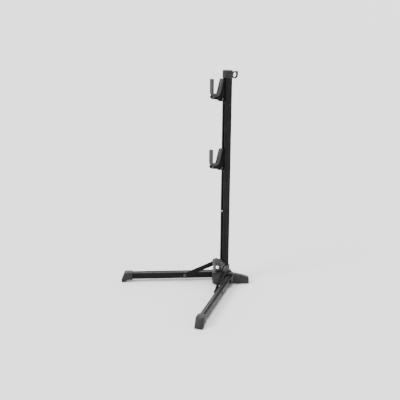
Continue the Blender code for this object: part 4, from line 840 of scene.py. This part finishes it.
latch_grey = moulded(
    "grey_latch", base=(0.0560, 0.0545, 0.0625), lifted=(0.0740, 0.0720, 0.0820),
    bare=(0.155, 0.152, 0.165), roughness=0.5,
)
latch = softened("latch_strip", "latch_lever", width=0.0003)
fitted(latch, latch_grey, "latch", "latch_grey", "latch_lever")
axle_profile = [
    (CORE, 0, 0, 0), (AXLE - AXLE_CHAMFER, 0, 0, 0), (AXLE, AXLE_CHAMFER, 1, 0),
    (AXLE, AXLE_LENGTH - AXLE_CHAMFER, 1, 0), (AXLE - AXLE_CHAMFER, AXLE_LENGTH, 0, 0),
    (CORE, AXLE_LENGTH, 0, 0),
]
axle = turned("latch_axle", axle_profile, (-AXLE_LENGTH / 2, -AXLE_REACH, AXLE_HEIGHT), (1, 0, 0))
fitted(axle, steel_black, "collar", "steel_black", "latch_pin")


def sampled(outline, step):
    """The closed outline with points at most one step apart along its straight runs."""
    ring = np.vstack((outline, outline[:1]))
    run = np.concatenate(([0], np.cumsum(np.linalg.norm(np.diff(ring, axis=0), axis=1))))
    place = np.union1d(run[:-1], np.arange(0, run[-1], step))
    return np.stack([np.interp(place, run, ring[:, side]) for side in (0, 1)], 1)


spring_steel = steel("spring_leaf", base=(0.10, 0.10, 0.104), bare=(0.32, 0.32, 0.33), roughness=0.28)
leaf_outline = sampled(np.array((
    (0.0183, 0.0473), (0.0183, 0.0593), (0.0271, 0.0644), (0.0290, 0.0666), (0.0302, 0.0666),
    (0.0302, 0.0660), (0.0293, 0.0660), (0.0275, 0.0639), (0.0189, 0.0590), (0.0189, 0.0473),
)), LEAF_STEP)
leaf_levels = rim(-LEAF_HALF_WIDE, LEAF_HALF_WIDE, LEAF_ROUND, LEAF_ROUND)
leaf_axes = ((0, -1, 0), (0, 0, 1), (1, 0, 0))
leaf = extruded("latch_leaf", leaf_outline, np.zeros(len(leaf_outline)), leaf_levels, leaf_axes)
leaf.data.materials.append(spring_steel)
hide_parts("latch_spring")
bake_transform(leaf)


# Plain pale floor and soft light, and the camera at the photograph's angle.

def paper_sweep(flat, edge, rise, rings=60, sides=96):
    """A round sheet, level out to one radius, whose height then grows as the square of the rest."""
    outer = flat + (edge - flat) * np.linspace(0, 1, rings)[1:] ** 1.5
    radius = np.concatenate(([0.5, flat], outer))
    height = rise * (np.maximum(radius - flat, 0) / (edge - flat)) ** 2
    spin = np.arange(sides) * -2 * np.pi / sides
    around = radius[:, None] * np.cos(spin), radius[:, None] * np.sin(spin)
    points = np.stack((*around, np.broadcast_to(height[:, None], around[0].shape)), -1)
    middle = list(range(sides))[::-1]
    faces = grid_faces(len(radius), sides, ends=False) + [middle]
    mesh = bpy.data.meshes.new("floor")
    mesh.from_pydata(points.reshape(-1, 3).tolist(), [], faces)
    mesh.shade_smooth()
    return mesh


floor_mesh = paper_sweep(flat=3.0, edge=90.0, rise=40.0)
floor = bpy.data.objects.new("floor", floor_mesh)
bpy.context.scene.collection.objects.link(floor)
floor_finish, _, shader = finish("pale_floor")
shader.inputs["Base Color"].default_value = (0.86, 0.86, 0.86, 1)
shader.inputs["Roughness"].default_value = 0.95
shader.inputs["Specular IOR Level"].default_value = 0.1
floor_mesh.materials.append(floor_finish)

world = bpy.data.worlds.new("studio")
world.use_nodes = True
backdrop = world.node_tree.nodes["Background"]
backdrop.inputs["Color"].default_value = (1, 1, 1, 1)
backdrop.inputs["Strength"].default_value = 0.7
bpy.context.scene.world = world


def soft_sun(name, toward, strength, angle):
    """A wide soft lamp, far away, that shines down from this direction."""
    lamp = bpy.data.lights.new(name, "SUN")
    lamp.energy = strength
    lamp.angle = math.radians(angle)
    holder = bpy.data.objects.new(name, lamp)
    bpy.context.scene.collection.objects.link(holder)
    holder.rotation_euler = (-Vector(toward)).to_track_quat("-Z", "Y").to_euler()


soft_sun("key_light", toward=(-0.1, -1.0, 0.8), strength=3.8, angle=26)
soft_sun("top_light", toward=(0.05, 0.2, 1.0), strength=2.4, angle=35)
soft_sun("back_light", toward=(-0.6, 0.7, 0.8), strength=1.0, angle=40)

CAMERA_PLACE = (1.274, -1.074, 0.751)                   # from the foot of the mast's axis
CAMERA_AHEAD, CAMERA_LEVEL = (-0.7559, 0.5857, -0.2927), (0.6125, 0.7905, 0)
CAMERA_ROLL = math.radians(0.347)
ahead = Vector(CAMERA_AHEAD).normalized()
level = Vector(CAMERA_LEVEL).normalized()
upward = level.cross(ahead)
across = level * math.cos(CAMERA_ROLL) + upward * math.sin(CAMERA_ROLL)
upright = upward * math.cos(CAMERA_ROLL) - level * math.sin(CAMERA_ROLL)
lens = bpy.data.cameras.new("camera")
lens.lens = 57.6
lens.sensor_width = 36
lens.clip_start = 0.01
camera = bpy.data.objects.new("camera", lens)
bpy.context.scene.collection.objects.link(camera)
standing = Matrix((across, upright, -ahead)).transposed().to_4x4()
standing.translation = Vector(CAMERA_PLACE) + Vector(MAST)
camera.matrix_world = standing
bpy.context.scene.camera = camera
